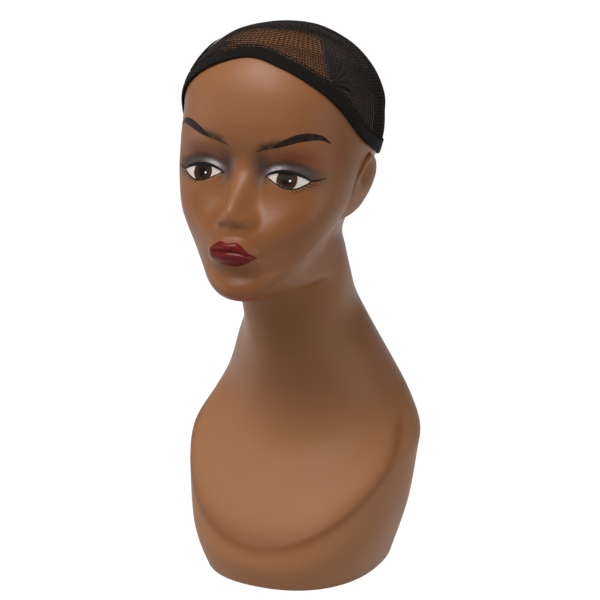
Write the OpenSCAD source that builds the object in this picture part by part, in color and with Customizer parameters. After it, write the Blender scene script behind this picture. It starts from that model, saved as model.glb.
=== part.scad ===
// Wig display head: a hollow vinyl head and bust on a screwed base board, wearing a mesh wig cap.
// Frame: origin at the middle of the foot's underside, +Z up, the face looks along -Y, its left is +X.
// All sizes are in millimetres.

/* [Head] */
// Breadth of the head above the ears
head_w = 147; // [135:0.5:160]
// Length of the head from the forehead to the back
head_l = 190; // [176:0.5:204]
// Height of the crown above the eye line
crown_h = 116; // [106:0.5:126]
// Depth of the chin below the eye line
chin_h = 95; // [88:0.5:104]
// Angle by which the face is lifted
head_lift = 8.5; // [4:0.5:12]
// Height of the eye line above the table
eye_z = 330; // [316:1:350]
// Distance of the head's middle in front of the foot's middle
head_f = 43; // [34:1:52]

/* [Face] */
// Rise of the nose tip over the plain face
nose_rise = 19.5; // [12:0.5:24]
// Half width of the nose at its tip
nose_w = 8.2; // [6:0.2:12]
// Distance between the middles of the eyes
eye_gap = 70; // [60:0.5:78]
// Depth of the face round the eyes behind the plain head
set_back = 10; // [6:0.2:13]
// Depth of the hollow over an eye
socket_d = 3.4; // [1:0.2:5]
// Width of the mouth
mouth_w = 41; // [32:0.5:52]
// Rise of the lips
lip_rise = 4.2; // [1:0.1:7]
// Length of an ear
ear_l = 57; // [46:0.5:66]
// Width of an ear
ear_w = 27; // [20:0.5:34]
// Rise of an ear's rear edge
ear_rise = 8; // [4:0.1:10]

/* [Bust] */
// Width of the foot
foot_w = 143; // [125:0.5:160]
// Length of the foot from front to back
foot_l = 170; // [150:0.5:186]
// Width of the bust at its edge
bust_w = 190; // [174:0.5:206]
// Length of the bust at its edge
bust_l = 180; // [168:0.5:194]
// Height of the bust's edge at the front
edge_front_z = 36.5; // [32:0.5:46]
// Height of the bust's edge at the sides
edge_side_z = 95; // [84:0.5:106]
// Height of the bust's edge at the back
edge_back_z = 105; // [94:0.5:116]
// Width of the neck at its narrowest
neck_w = 92; // [82:0.5:102]

/* [Shell and base] */
// Wall of the vinyl shell
wall = 4; // [2.5:0.1:5.5]
// Width of the in-turned floor that the board is screwed to
floor_w = 20; // [14:0.5:28]
// Thickness of the base board
board_t = 9; // [6:0.5:12]
// Thickness of the felt under the board
felt_t = 1.5; // [1:0.1:3]
// Height of the shell's rim above the table
rim_z = 1; // [0.5:0.1:2]
// Clearance of the board and the felt inside the rim
board_gap = 0.3; // [0.2:0.05:0.6]
// Number of board screws
screws = 6; // [4:1:8]
// Shank diameter of a board screw
screw_d = 3.5; // [2.5:0.1:4.5]
// Head diameter of a board screw
screw_head_d = 7; // [6:0.1:9]
// Clearance of a screw in the board
screw_gap = 0.25; // [0.1:0.05:0.5]

/* [Cap] */
// Stand-off of the cap from the head
cap_gap = 1.1; // [1:0.05:2]
// Thickness of the net
net_t = 0.7; // [0.5:0.05:1.2]
// Width of the elastic band
band_w = 9; // [6:0.25:13]
// Thickness of the elastic band
band_t = 1.8; // [1.2:0.1:2.6]
// Thickness of the overlock stitching along the band
stitch_d = 1.1; // [0.8:0.1:1.6]
// Gap between the sewn pieces of the cap
sewn_gap = 0.3; // [0.2:0.05:0.5]
// Number of pleats in a gather
pleats = 6; // [4:1:9]
// Depth of a pleat
pleat_d = 1.6; // [0.8:0.1:2.4]
// Length of a gather up the cap
gather_l = 19; // [14:0.5:26]

/* [Hidden] */
$fn = 48;

// Columns of a row of the skin, each in millimetres apart from the two roundnesses and the hang, which says
// how quickly the height rises from the front to the side.
FRONT_F = 0;
FRONT_Z = 1;
SIDE_X = 2;
SIDE_F = 3;
SIDE_Z = 4;
BACK_F = 5;
BACK_Z = 6;
ROUND_F = 7;
ROUND_B = 8;
HANG = 9;

// Sizes that the head's rows are drawn at: breadth, length, crown and chin.
drawn_w = 147;
drawn_l = 190;
drawn_crown = 116;
drawn_chin = 95;
head_kx = head_w / drawn_w;
head_kf = head_l / drawn_l;
crown_k = crown_h / drawn_crown;
chin_k = chin_h / drawn_chin;

// Rows of the head from the throat to the crown, forward of the head's middle and up from the eye line.
HEAD = [
  [0, -91, 49.5, -28, -82, -68.5, -70.5, 2, 2],
  [37, -95, 47.5, -14.5, -66.5, -68, -54.5, 2, 2],
  [60.5, -94, 45, -2, -55, -70.5, -42, 2, 2],
  [70, -90.5, 46.5, 4, -43.5, -76, -28.5, 2, 2],
  [72, -82, 51, 6.5, -36, -82.5, -17.5, 2, 2],
  [70, -73, 57, 10, -29, -90, -7.5, 2.1, 1.9],
  [73.5, -60, 62, 12, -20.5, -97, 3, 2.15, 1.9],
  [77, -43.5, 66.5, 14, -10, -102, 14.5, 2.2, 1.9],
  [73.5, -22.5, 69, 15, 3, -104, 26, 2.4, 1.9],
  [74.5, -1, 71.5, 9, 16, -104, 37, 2.5, 1.9],
  [75.5, 19.5, 72.5, 2, 29.5, -102, 49, 2.5, 1.9],
  [78, 41.5, 72.5, -1.5, 44, -95, 61.5, 2.4, 1.9],
  [77, 66.5, 71.5, -2, 59.5, -84.5, 74, 2.3, 2],
  [66, 89.5, 63, -4, 79.5, -70.5, 89.5, 2.1, 2],
  [41, 107.5, 46.5, -8, 98, -51, 103.5, 2, 2],
  [10, 114, 23.5, -10.5, 109.5, -30, 113.5, 2, 2],
  [-11, 115, 0, -11, 115, -11, 115, 2, 2]];

// Rows of the neck: share of the way from shoulder to throat at the front, side and back, share of the way
// from the bust's width to the neck's, then how far the front, side and back draw in behind a straight line.
NECK = [
  [0.141, 0.16, 0.19, 0.24, 13.1, 15, 6.5],
  [0.323, 0.32, 0.41, 0.495, 28.4, 19, 9.5],
  [0.504, 0.54, 0.64, 0.76, 26.3, 17, 9.5],
  [0.731, 0.77, 0.86, 1, 12.3, 17, 8]];

function lerp(a, b, share) = a + (b - a) * share;
function clamp(a, low, high) = min(max(a, low), high);
function smooth(a) = let (s = clamp(a, 0, 1)) s * s * (3 - 2 * s);
function bell(d, half, power = 2) = exp(-ln(2) * pow(abs(d / half), power));
function cubic(p, i, s) =
  let (last = len(p) - 1, a = p[max(i - 1, 0)], b = p[i], c = p[min(i + 1, last)], d = p[min(i + 2, last)])
  let (out = (c - a) / 2, into = (d - b) / 2)
  b + s * (out + s * (3 * (c - b) - 2 * out - into + s * (2 * (b - c) + out + into)));

// Head frame to world and back: forward and up by the lift of the face.
function to_world(f, h) = [head_f + f * cos(head_lift) - h * sin(head_lift),
                           eye_z + f * sin(head_lift) + h * cos(head_lift)];
function to_head(f, z) = [(f - head_f) * cos(head_lift) + (z - eye_z) * sin(head_lift),
                          (z - eye_z) * cos(head_lift) - (f - head_f) * sin(head_lift)];
function head_h(h) = h * (h > 0 ? crown_k : chin_k);
function head_row(r) =
  let (front = to_world(r[FRONT_F] * head_kf, head_h(r[FRONT_Z])),
       side = to_world(r[SIDE_F] * head_kf, head_h(r[SIDE_Z])),
       back = to_world(r[BACK_F] * head_kf, head_h(r[BACK_Z])))
  [front[0], front[1], r[SIDE_X] * head_kx, side[0], side[1], back[0], back[1], r[ROUND_F], r[ROUND_B], 1];

// Rows of the bust: foot, wall, edge and the chest just inside the edge.
foot_row = [foot_l / 2, rim_z, foot_w / 2, 1, rim_z, -foot_l / 2, rim_z, 2.3, 2.2, 1];
edge_hang = 1.5;
edge_row = [bust_l / 2, edge_front_z, bust_w / 2 - 0.5, -7, edge_side_z, -bust_l / 2, edge_back_z, 2, 2,
            edge_hang];
wall_swell = 2;
wall_row = [edge_row[FRONT_F] + wall_swell, 0.54 * edge_front_z,
            lerp(foot_row[SIDE_X], edge_row[SIDE_X], 0.65), -4, 0.485 * edge_side_z,
            lerp(foot_row[BACK_F], edge_row[BACK_F], 0.8), 0.55 * edge_back_z, 2.2, 2.1, 1.35];
chest_in = [10, 4];
chest_up = [16, 14.5, 22];
chest_row = [edge_row[FRONT_F] - chest_in[0], edge_front_z + chest_up[0], bust_w / 2, -11,
             edge_side_z + chest_up[1], edge_row[BACK_F] + chest_in[1], edge_back_z + chest_up[2], 2, 2, 1.45];
throat_row = head_row(HEAD[0]);
function neck_row(n) =
  [lerp(chest_row[FRONT_F], throat_row[FRONT_F], n[0]) - n[4],
   lerp(chest_row[FRONT_Z], throat_row[FRONT_Z], n[0]),
   lerp(bust_w / 2, neck_w / 2, n[3]),
   lerp(chest_row[SIDE_F], throat_row[SIDE_F], n[1]) - n[5],
   lerp(chest_row[SIDE_Z], throat_row[SIDE_Z], n[1]),
   lerp(chest_row[BACK_F], throat_row[BACK_F], n[2]) - n[6],
   lerp(chest_row[BACK_Z], throat_row[BACK_Z], n[2]), 2, 2, lerp(chest_row[HANG], 1, n[1])];
ROWS = concat([foot_row, wall_row, edge_row, chest_row], [for (n = NECK) neck_row(n)],
              [for (r = HEAD) head_row(r)]);
crown_t = len(ROWS) - 1;

// Plain skin at row place t and angle a, 0 at the front and 90 at the left side, as left, forward and up.
// The rows bend sharply at the bust's edge, and the edge is then rounded.
edge_t = 2;
edge_round = 0.15;
BELOW = [for (i = [0 : edge_t]) ROWS[i]];
ABOVE = [for (i = [edge_t : crown_t]) ROWS[i]];
function bent_row(t) =
  t < edge_t ? let (i = clamp(floor(t), 0, edge_t - 1)) cubic(BELOW, i, t - i)
  : let (i = min(floor(t), crown_t - 1)) cubic(ABOVE, i - edge_t, t - i);
function row_at(t) =
  let (reach = edge_round * smooth(1 - abs(t - edge_t) / (4 * edge_round)))
  reach > 0 ? (bent_row(t - reach) + 2 * bent_row(t) + bent_row(t + reach)) / 4 : bent_row(t);
function ring_point(r, a) =
  let (front = cos(a) >= 0, power = 2 / (front ? r[ROUND_F] : r[ROUND_B]))
  let (ahead = pow(abs(cos(a)), power), aside = pow(abs(sin(a)), power))
  [sign(sin(a)) * r[SIDE_X] * aside,
   lerp(r[SIDE_F], front ? r[FRONT_F] : r[BACK_F], ahead),
   front ? lerp(r[SIDE_Z], r[FRONT_Z], pow(ahead, r[HANG])) : lerp(r[SIDE_Z], r[BACK_Z], ahead)];
function skin_point(t, a) = ring_point(row_at(t), a);

// Outward normal of the plain skin, from points a little to each side.
step_t = 0.04;
step_a = 0.6;
function along(t, a) = skin_point(min(t + step_t, crown_t), a) - skin_point(max(t - step_t, 0), a);
function around_at(t, a) = skin_point(t, a + step_a) - skin_point(t, a - step_a);
function unit(v) = v / norm(v);
function normal(t, a) = unit(cross(along(t, a), around_at(t, a)));
function off_skin(t, a, d) = skin_point(t, a) + d * normal(t, a);
function place(p) = [p[0], -p[1], p[2]];

// Angles of the columns, closer together on the face and at the ears.
columns = 64;
face_close = 26;
ear_close = 4.6;
function column_angle(k) = let (a = 360 * k / columns) a - face_close * sin(a) - ear_close * sin(4 * a);
ANGLES = [for (k = [0 : columns - 1]) column_angle(k)];

// Faces of a stack of closed rings with a point at each end, and of a closed strip of rings. The two halves
// of a ring are split the opposite way, so that left and right are mirror images.
function quad(a, b, c, d) = [[a, b, c], [a, c, d]];
function ring_quad(i, k, n) =
  let (a = i * n + k, b = (i + 1) * n + k, c = (i + 1) * n + (k + 1) % n, d = i * n + (k + 1) % n)
  k < n / 2 ? quad(a, b, c, d) : quad(b, c, d, a);
function ring_faces(rings, n) = [for (i = [0 : rings - 2], k = [0 : n - 1], q = ring_quad(i, k, n)) q];
module ring_stack(bottom, rings, top) {
  n = len(rings[0]);
  body = [for (r = rings, p = r) p];
  first = len(body);
  faces = concat(ring_faces(len(rings), n),
    [for (k = [0 : n - 1]) [first, k, (k + 1) % n]],
    [for (k = [0 : n - 1]) [first + 1, (len(rings) - 1) * n + (k + 1) % n, (len(rings) - 1) * n + k]]);
  polyhedron(concat(body, [bottom, top]), faces, convexity = 8);
}
module ring_loop(rings) {
  n = len(rings[0]);
  polyhedron([for (r = rings, p = r) p], concat(ring_faces(len(rings), n),
    [for (k = [0 : n - 1], q = quad((len(rings) - 1) * n + k, k, (k + 1) % n,
      (len(rings) - 1) * n + (k + 1) % n)) q]), convexity = 8);
}

// Rise of the nose, down the middle line: height on the face and share of its rise.
NOSE = [[-45, 0], [-41, 0.09], [-38, 0.24], [-35, 0.46], [-31.5, 0.73], [-27.5, 0.94], [-23.5, 1],
        [-18.5, 0.91], [-12.5, 0.7], [-6, 0.47], [0, 0.28], [6, 0.12], [12, 0.03], [20, 0]];
// Share of the nose's width that is left at the bridge, and the height over which it narrows.
bridge_share = 0.84;
bridge_run = 28;
nose_power = 2.15;
// Set-back of the face round the eyes: height on the face and share of its depth.
SET_BACK = [[-46, 0], [-34, 0.22], [-22, 0.55], [-10, 0.86], [2, 1], [12, 0.75], [22, 0.42], [32, 0.16],
            [42, 0]];
set_back_half = 62;
// Round swellings of the face, mirrored: rise, distance from the middle, height, half width, half height.
SPOTS = [
  [5.4, 11.6, -30, 4.6, 5.2], [-1.6, 17.5, -29, 3.2, 6], [-2.4, 14.5, 6, 5.5, 9], [1.8, 36, 25, 21, 6.5],
  [3.4, 45, -23, 15, 12], [-2.2, 41, -54, 12, 15], [1.2, 29, -37, 8, 10],
  [9.2, 0, -53.5, 17.5, 11.5], [-2.4, 0, -71, 13, 3.8], [4, 0, -83, 12, 8]];
socket_h = 9;
socket_half = [17, 6.5];
eye_h = 0.4;
eyeball_half = [14, 8.5];
eyeball_share = 0.76;
mouth_h = -54;
mouth_droop = 4.2;
droop_power = 1.6;
corner_over = 2.5;
corner_fade = 9;
lip_share = [0.85, 1.1];
lip_h = [3.8, -5.6];
lip_half = [3.8, 4.8];
groove_share = 0.5;
groove_half = 1.4;
function spot(u, h, at_u, at_h, half_u, half_h) = bell(abs(u) - at_u, half_u) * bell(h - at_h, half_h);
function curve_at(table, h) =
  let (last = len(table) - 1, x = clamp(h, table[0][0], table[last][0]))
  let (i = min(last - 1, max([for (k = [0 : last]) if (table[k][0] <= x) k])))
  max(0, cubic(table, i, (x - table[i][0]) / (table[i + 1][0] - table[i][0]))[1]);
function set_back_at(u, h) = set_back * curve_at(SET_BACK, h) * max(0, 1 - pow(u / set_back_half, 2));
function lips(u, h) =
  let (m = mouth_h - mouth_droop * pow(abs(u) * 2 / mouth_w, droop_power))
  let (open = smooth((mouth_w / 2 + corner_over - abs(u)) / corner_fade))
  let (upper = lip_share[0] * bell(h - m - lip_h[0], lip_half[0]))
  let (lower = lip_share[1] * bell(h - m - lip_h[1], lip_half[1]))
  lip_rise * open * (upper + lower - groove_share * bell(h - m, groove_half));
function nose_half(h) = nose_w * lerp(bridge_share, 1, smooth(-h / bridge_run));
function face(u, h) =
  nose_rise * curve_at(NOSE, h) * bell(u, nose_half(h), nose_power)
  + [for (s = SPOTS) s[0] * spot(u, h, s[1], s[2], s[3], s[4])] * [for (s = SPOTS) 1]
  - socket_d * spot(u, h, eye_gap / 2, socket_h, socket_half[0], socket_half[1])
  + socket_d * eyeball_share * spot(u, h, eye_gap / 2, eye_h, eyeball_half[0], eyeball_half[1])
  - set_back_at(u, h) + lips(u, h);

// Rise of an ear at a place on the side of the head: a leaf that leans back, proud along its rear edge.
ear_mid = [-2.5, -5];
ear_lean = 21;
// Broader at the top, higher along the rear edge, and soft over a share of its width and its length.
ear_taper = 0.12;
ear_slope = [0.5, -0.46, 0.08];
ear_edge = [1.25, 0.55];
ear_tip = 0.2;
function ear(f, h) =
  let (df = f - ear_mid[0], dh = h - ear_mid[1])
  let (up = dh * cos(ear_lean) - df * sin(ear_lean), ahead = df * cos(ear_lean) + dh * sin(ear_lean))
  let (share = clamp(2 * up / ear_l, -1, 1))
  let (leaf = ear_w / 2 * sqrt(1 - share * share) * (1 + ear_taper * share))
  let (r = ahead / max(leaf, 0.1))
  let (inside = smooth((ear_edge[0] - abs(r)) / ear_edge[1]) * smooth((1 - abs(share)) / ear_tip))
  inside * max(0, ear_rise * (ear_slope * [1, r, share]));
function face_place(p) =
  let (q = to_head(p[1], p[2])) [p[0] / head_kx, q[1] / (q[1] > 0 ? crown_k : chin_k), q[0], q[1]];
// The face fades out towards the sides and under the chin, the ears towards the front, the back and the neck.
face_side = [0.12, 0.3];
face_low = [-100, 6];
ear_side = [0.72, 0.15];
ear_low = [-60, 10];
function on_face(a, h) =
  smooth((cos(a) - face_side[0]) / face_side[1]) * smooth((h - face_low[0]) / face_low[1]);
function on_side(a, h) =
  smooth((abs(sin(a)) - ear_side[0]) / ear_side[1]) * smooth((h - ear_low[0]) / ear_low[1]);
function dressed_point(t, a) =
  let (p = skin_point(t, a), q = face_place(p), u = q[0], h = q[1], front = on_face(a, h))
  let (beside = on_side(a, h))
  let (w = to_world(q[2] + (front > 0 ? front * face(u, h) : 0), q[3]))
  [p[0] + sign(p[0]) * (beside > 0 ? beside * ear(q[2] / head_kf, h) : 0), w[0], w[1]];

// Plan of the foot drawn in by a distance.
function foot_plan(a, inset) =
  let (p = ring_point(foot_row, a), q = ring_point(foot_row, a + step_a) - ring_point(foot_row, a - step_a))
  [p[0] + inset * q[1] / norm([q[0], q[1]]), -p[1] + inset * q[0] / norm([q[0], q[1]])];
function foot_ring(inset, z) = [for (a = ANGLES) concat(foot_plan(a, inset), z)];
module foot_sheet(inset, z, t) {
  translate([0, 0, z]) linear_extrude(t) polygon([for (a = ANGLES) foot_plan(a, inset)]);
}
board_z = felt_t;
floor_z = board_z + board_t;
floor_t = wall;
board_inset = wall + board_gap;
screw_inset = board_inset + floor_w / 2;
function screw_at(k) = foot_plan(column_angle((k + 0.5) * columns / screws), screw_inset);

// Places of the rings: the outside is closest on the face. The inner wall follows the plain skin and lies
// deeper behind the face.
neck_steps = 6;
jaw_steps = 5;
face_steps = 30;
brow_steps = 6;
crown_steps = 6;
neck_t = 4;
throat_t = 8;
jaw_t = 11;
brow_t = 18;
hairline_t = 21;
EDGE_T = [0, 0.5, 1, 1.4, 1.7, 1.87, 2, 2.13, 2.3, 2.6, 3, 3.5];
function steps(from, to, count) = [for (k = [0 : count - 1]) lerp(from, to, k / count)];
OUTER_T = concat(EDGE_T, steps(neck_t, throat_t, neck_steps), steps(throat_t, jaw_t, jaw_steps),
                 steps(jaw_t, brow_t, face_steps), steps(brow_t, hairline_t, brow_steps),
                 steps(hairline_t, crown_t, crown_steps));
INNER_T = concat([1, 1.5, 2, 2.5], [for (t = [3 : 1 : crown_t - 1]) t]);
face_hollow = 6;
hollow_side = [0.1, 0.4];
hollow_low = [11, 3];
hollow_high = [20, 2];
function inner_depth(t, a) =
  let (q = face_place(skin_point(t, a)), front = on_face(a, q[1]))
  wall + (front > 0 ? front * set_back_at(q[0], q[1]) : 0)
    + face_hollow * smooth((cos(a) - hollow_side[0]) / hollow_side[1])
    * smooth((t - hollow_low[0]) / hollow_low[1]) * smooth((hollow_high[0] - t) / hollow_high[1]);

module vinyl_shell() {
  outer = [for (t = OUTER_T) [for (a = ANGLES) place(dressed_point(t, a))]];
  lip = [foot_ring(wall + floor_w, floor_z + floor_t), foot_ring(wall + floor_w, floor_z),
         foot_ring(wall, floor_z), foot_ring(wall, rim_z)];
  inner = [for (i = [len(INNER_T) - 1 : -1 : 0])
            [for (a = ANGLES) place(off_skin(INNER_T[i], a, -inner_depth(INNER_T[i], a)))]];
  crown = ROWS[crown_t];
  color([0.5, 0.32, 0.21])
    ring_stack(place([0, crown[FRONT_F], crown[FRONT_Z] - wall]),
               concat(inner, [foot_ring(wall, floor_z + floor_t)], lip, outer),
               place([0, crown[FRONT_F], crown[FRONT_Z]]));
}

// Holes run past the board's faces, and the sinks for the heads just past its underside.
cut_over = 1;
sink_over = 0.01;
module base_board() {
  color([0.62, 0.48, 0.33]) difference() {
    foot_sheet(board_inset, board_z, board_t);
    for (k = [0 : screws - 1]) {
      translate(concat(screw_at(k), board_z - cut_over))
        cylinder(d = screw_d + 2 * screw_gap, h = board_t + 2 * cut_over);
      translate(concat(screw_at(k), board_z - sink_over))
        cylinder(d1 = screw_head_d + 2 * screw_gap, d2 = screw_d + 2 * screw_gap, h = screw_head_d / 2);
    }
  }
}

// Countersunk screws from below, through the board into the shell's floor.
screw_recess = 0.3;
screw_short = 0.5;
module board_screws() {
  color([0.75, 0.76, 0.78]) for (k = [0 : screws - 1])
    translate(concat(screw_at(k), board_z + screw_recess)) {
      cylinder(d1 = screw_head_d, d2 = screw_d, h = (screw_head_d - screw_d) / 2);
      cylinder(d = screw_d, h = board_t + floor_t - screw_recess - screw_short);
    }
}

module base_felt() {
  color([0.12, 0.12, 0.13]) foot_sheet(board_inset, 0, felt_t);
}

// Lower rim of the cap: row place at every rim_step degrees from the front, over the ear, down to the nape.
RIM = [20.9, 20.65, 20.2, 19.5, 18.4, 17.35, 16.45, 15.7, 15.1, 14.9];
rim_step = 20;
rim_last = len(RIM) - 1;
// The rim is level at the front and at the nape, so its row is mirrored there.
RIM_ROUND = concat([RIM[1]], RIM, [RIM[rim_last - 1]]);
function fold(a) = let (b = abs(a) % 360) b > 180 ? 360 - b : b;
function rim_t(a) =
  let (k = fold(a) / rim_step, i = min(floor(k), rim_last - 1)) cubic(RIM_ROUND, i + 1, k - i);
// Row places covered by a length square to the rim.
function rise_t(a, length) =
  let (t = rim_t(a), up = along(t, a) / (2 * step_t))
  let (run = unit(skin_point(rim_t(a + step_a), a + step_a) - skin_point(rim_t(a - step_a), a - step_a)))
  length / norm(up - (up * run) * run);
function cap_point(a, across, out) = place(off_skin(rim_t(a) + rise_t(a, across), a, out));
function over_net(a, across, out) = cap_point(a, across, cap_gap + net_t + sewn_gap + out);

// Net: a closed thin dome from the band's upper edge to the crown.
net_steps = 11;
net_close = 0.9;
module cap_net() {
  low = band_w + sewn_gap;
  function dome(out) = [for (i = [0 : net_steps - 1]) [for (a = ANGLES)
    place(off_skin(lerp(rim_t(a) + rise_t(a, low), crown_t, pow(i / net_steps, net_close)), a, out))]];
  inner = dome(cap_gap);
  crown = ROWS[crown_t];
  color([0.13, 0.11, 0.1])
    ring_stack(place([0, crown[FRONT_F], crown[FRONT_Z] + cap_gap]),
               concat([for (i = [net_steps - 1 : -1 : 0]) inner[i]], dome(cap_gap + net_t)),
               place([0, crown[FRONT_F], crown[FRONT_Z] + cap_gap + net_t]));
}

// Band: a soft-edged strip; each section point is a share of its width and of its thickness.
BAND = [[0.5, 0], [0.06, 0], [0, 0.35], [0.02, 0.75], [0.14, 1], [0.5, 1.06], [0.86, 1], [0.98, 0.75],
        [1, 0.35], [0.94, 0]];
module cap_band() {
  color([0.07, 0.06, 0.06]) ring_loop([for (b = BAND)
    [for (a = ANGLES) cap_point(a, b[0] * band_w, cap_gap + b[1] * band_t)]]);
}

// Overlock stitching: a thread roll lying on the net beside the band's upper edge.
stitch_sides = 6;
module cap_stitching() {
  mid = band_w + 2 * sewn_gap + stitch_d / 2;
  color([0.05, 0.05, 0.05]) ring_loop([for (k = [0 : stitch_sides - 1])
    [for (a = ANGLES) over_net(a, mid + stitch_d / 2 * cos(-360 * k / stitch_sides + 180),
      stitch_d / 2 * (1 + sin(360 * k / stitch_sides)))]]);
}

// Gathers: the net drawn up in a pleated fan that spreads up and back from a point on the band at each temple.
gather_at = 53;
gather_from = 15;
gather_to = 96;
gather_start = 3;
gather_rows = 7;
gather_cols = 4 * pleats;
scallop = 0.05;
gather_t = 0.3;
pleat_start = 0.35;
pleat_mean = 0.55;
rim_run = norm(skin_point(rim_t(gather_at + 1), gather_at + 1) - skin_point(rim_t(gather_at), gather_at));
function pleat(s) = cos(360 * s * pleats);
function gather_out(s, up) =
  gather_t + pleat_d * lerp(pleat_start, 1, up) * (pleat_mean + (1 - pleat_mean) * pleat(s));
function gather_edge(a_sign, i, s, out) =
  let (up = i / (gather_rows - 1), turn = lerp(gather_from, gather_to, s))
  let (r = gather_start + up * gather_l * (1 + scallop * pleat(s)))
  over_net(a_sign * (gather_at + r * cos(turn) / rim_run),
    band_w + 3 * sewn_gap + stitch_d + r * sin(turn), out);
module gather(a_sign) {
  under = [for (j = [0 : gather_cols]) [for (i = [0 : gather_rows - 1])
    gather_edge(a_sign, i, j / gather_cols, 0)]];
  over = [for (j = [0 : gather_cols]) [for (i = [gather_rows - 1 : -1 : 0])
    gather_edge(a_sign, i, j / gather_cols, gather_out(j / gather_cols, i / (gather_rows - 1)))]];
  rings = [for (j = [0 : gather_cols]) concat(under[j], over[j])];
  n = 2 * gather_rows;
  function cap_face(j, turn) = [for (i = [0 : gather_rows - 2], q = quad(j * n + i, j * n + i + 1,
    j * n + n - 2 - i, j * n + n - 1 - i)) turn ? [q[2], q[1], q[0]] : q];
  faces = concat(ring_faces(gather_cols + 1, n), cap_face(0, false), cap_face(gather_cols, true));
  polyhedron([for (r = rings, p = r) p],
    a_sign < 0 ? faces : [for (q = faces) [q[2], q[1], q[0]]], convexity = 8);
}
module cap_gathers() {
  color([0.09, 0.08, 0.08]) for (a_sign = [-1, 1]) gather(a_sign);
}

vinyl_shell();
base_board();
board_screws();
base_felt();
cap_net();
cap_band();
cap_stitching();
cap_gathers();
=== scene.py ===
"""Looks of a wig display head: a painted vinyl figure on a felted base, wearing a mesh wig cap.

Lengths are millimetres inside the classes and metres in the meshes. A place on the figure is given as left,
forward and up, where forward is the frame's -Y. A place on the face is given as left and height over the eye
line, in the frame of the lifted head.
"""
import logging
import math
from contextlib import contextmanager
from dataclasses import dataclass, field
from enum import Enum, IntEnum
from functools import cached_property
from typing import Any, Callable, Iterator, Optional, Sequence, Union

import bpy
import numpy as np
from mathutils import Matrix, Vector


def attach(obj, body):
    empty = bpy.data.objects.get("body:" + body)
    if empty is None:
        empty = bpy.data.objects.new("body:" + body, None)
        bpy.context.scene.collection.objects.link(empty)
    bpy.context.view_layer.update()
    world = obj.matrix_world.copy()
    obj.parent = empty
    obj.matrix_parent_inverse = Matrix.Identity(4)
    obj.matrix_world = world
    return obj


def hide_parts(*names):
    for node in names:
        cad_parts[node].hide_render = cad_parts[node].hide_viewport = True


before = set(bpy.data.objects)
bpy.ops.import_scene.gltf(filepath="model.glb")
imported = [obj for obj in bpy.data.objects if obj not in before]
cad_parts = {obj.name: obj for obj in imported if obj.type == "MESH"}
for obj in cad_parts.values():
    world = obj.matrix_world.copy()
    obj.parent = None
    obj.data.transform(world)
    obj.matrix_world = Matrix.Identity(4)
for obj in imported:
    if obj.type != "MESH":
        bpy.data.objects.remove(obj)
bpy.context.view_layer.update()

log = logging.getLogger("wig_head")
MM = 0.001
Array = np.ndarray
Colour = tuple[float, float, float]
WHITE: Colour = (1.0, 1.0, 1.0)


class Column(IntEnum):
    """Columns of a row of the skin.

    They hold its front, side and back place, how square its front and back half are, and how late its height
    goes over from the side's to the front's.
    """

    FRONT_F = 0
    FRONT_Z = 1
    SIDE_X = 2
    SIDE_F = 3
    SIDE_Z = 4
    BACK_F = 5
    BACK_Z = 6
    ROUND_F = 7
    ROUND_B = 8
    HANG = 9


class Side(Enum):
    """The figure's own left and right."""

    LEFT = 1
    RIGHT = -1


def smooth(a: Array) -> Array:
    """Smooth step from 0 to 1."""
    s = np.clip(a, 0.0, 1.0)
    return s * s * (3.0 - 2.0 * s)


def bell(d: Array, half: Union[float, Array], power: float = 2.0) -> Array:
    """Bump of height 1 that falls to a half at the distance half."""
    return np.exp(-math.log(2.0) * np.abs(np.asarray(d) / half) ** power)


def cubic(rows: Array, t: Array) -> Array:
    """Smooth curve through rows, at real row numbers.

    Args:
        rows: One row for each whole number.
        t: Row numbers, of any shape.

    Returns:
        A row for each t, on a new last axis.
    """
    last = len(rows) - 1
    i = np.clip(np.floor(t).astype(int), 0, last - 1)
    s = (np.asarray(t) - i)[..., None]
    a, b = rows[np.maximum(i - 1, 0)], rows[i]
    c, d = rows[i + 1], rows[np.minimum(i + 2, last)]
    out, into = (c - a) / 2.0, (d - b) / 2.0
    return b + s * (out + s * (3 * (c - b) - 2 * out - into + s * (2 * (b - c) + out + into)))


def curve(x: Array, points: Sequence[tuple[float, float]]) -> Array:
    """Smooth curve through (x, y) points, level past its ends.

    Args:
        x: Where the curve is wanted.
        points: Points in rising x.

    Returns:
        The curve's y at each x.
    """
    px, py = np.array(points, float).T
    slope = np.zeros(len(px))
    slope[1:-1] = (py[2:] - py[:-2]) / (px[2:] - px[:-2])
    x = np.clip(x, px[0], px[-1])
    i = np.clip(np.searchsorted(px, x, side="right") - 1, 0, len(px) - 2)
    d = px[i + 1] - px[i]
    s = (x - px[i]) / d
    return ((2 * s**3 - 3 * s**2 + 1) * py[i] + (s**3 - 2 * s**2 + s) * d * slope[i]
            + (3 * s**2 - 2 * s**3) * py[i + 1] + (s**3 - s**2) * d * slope[i + 1])


def unit(v: Array) -> Array:
    """Vectors along the last axis at length 1."""
    return v / np.maximum(np.linalg.norm(v, axis=-1, keepdims=True), 1e-12)


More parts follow.
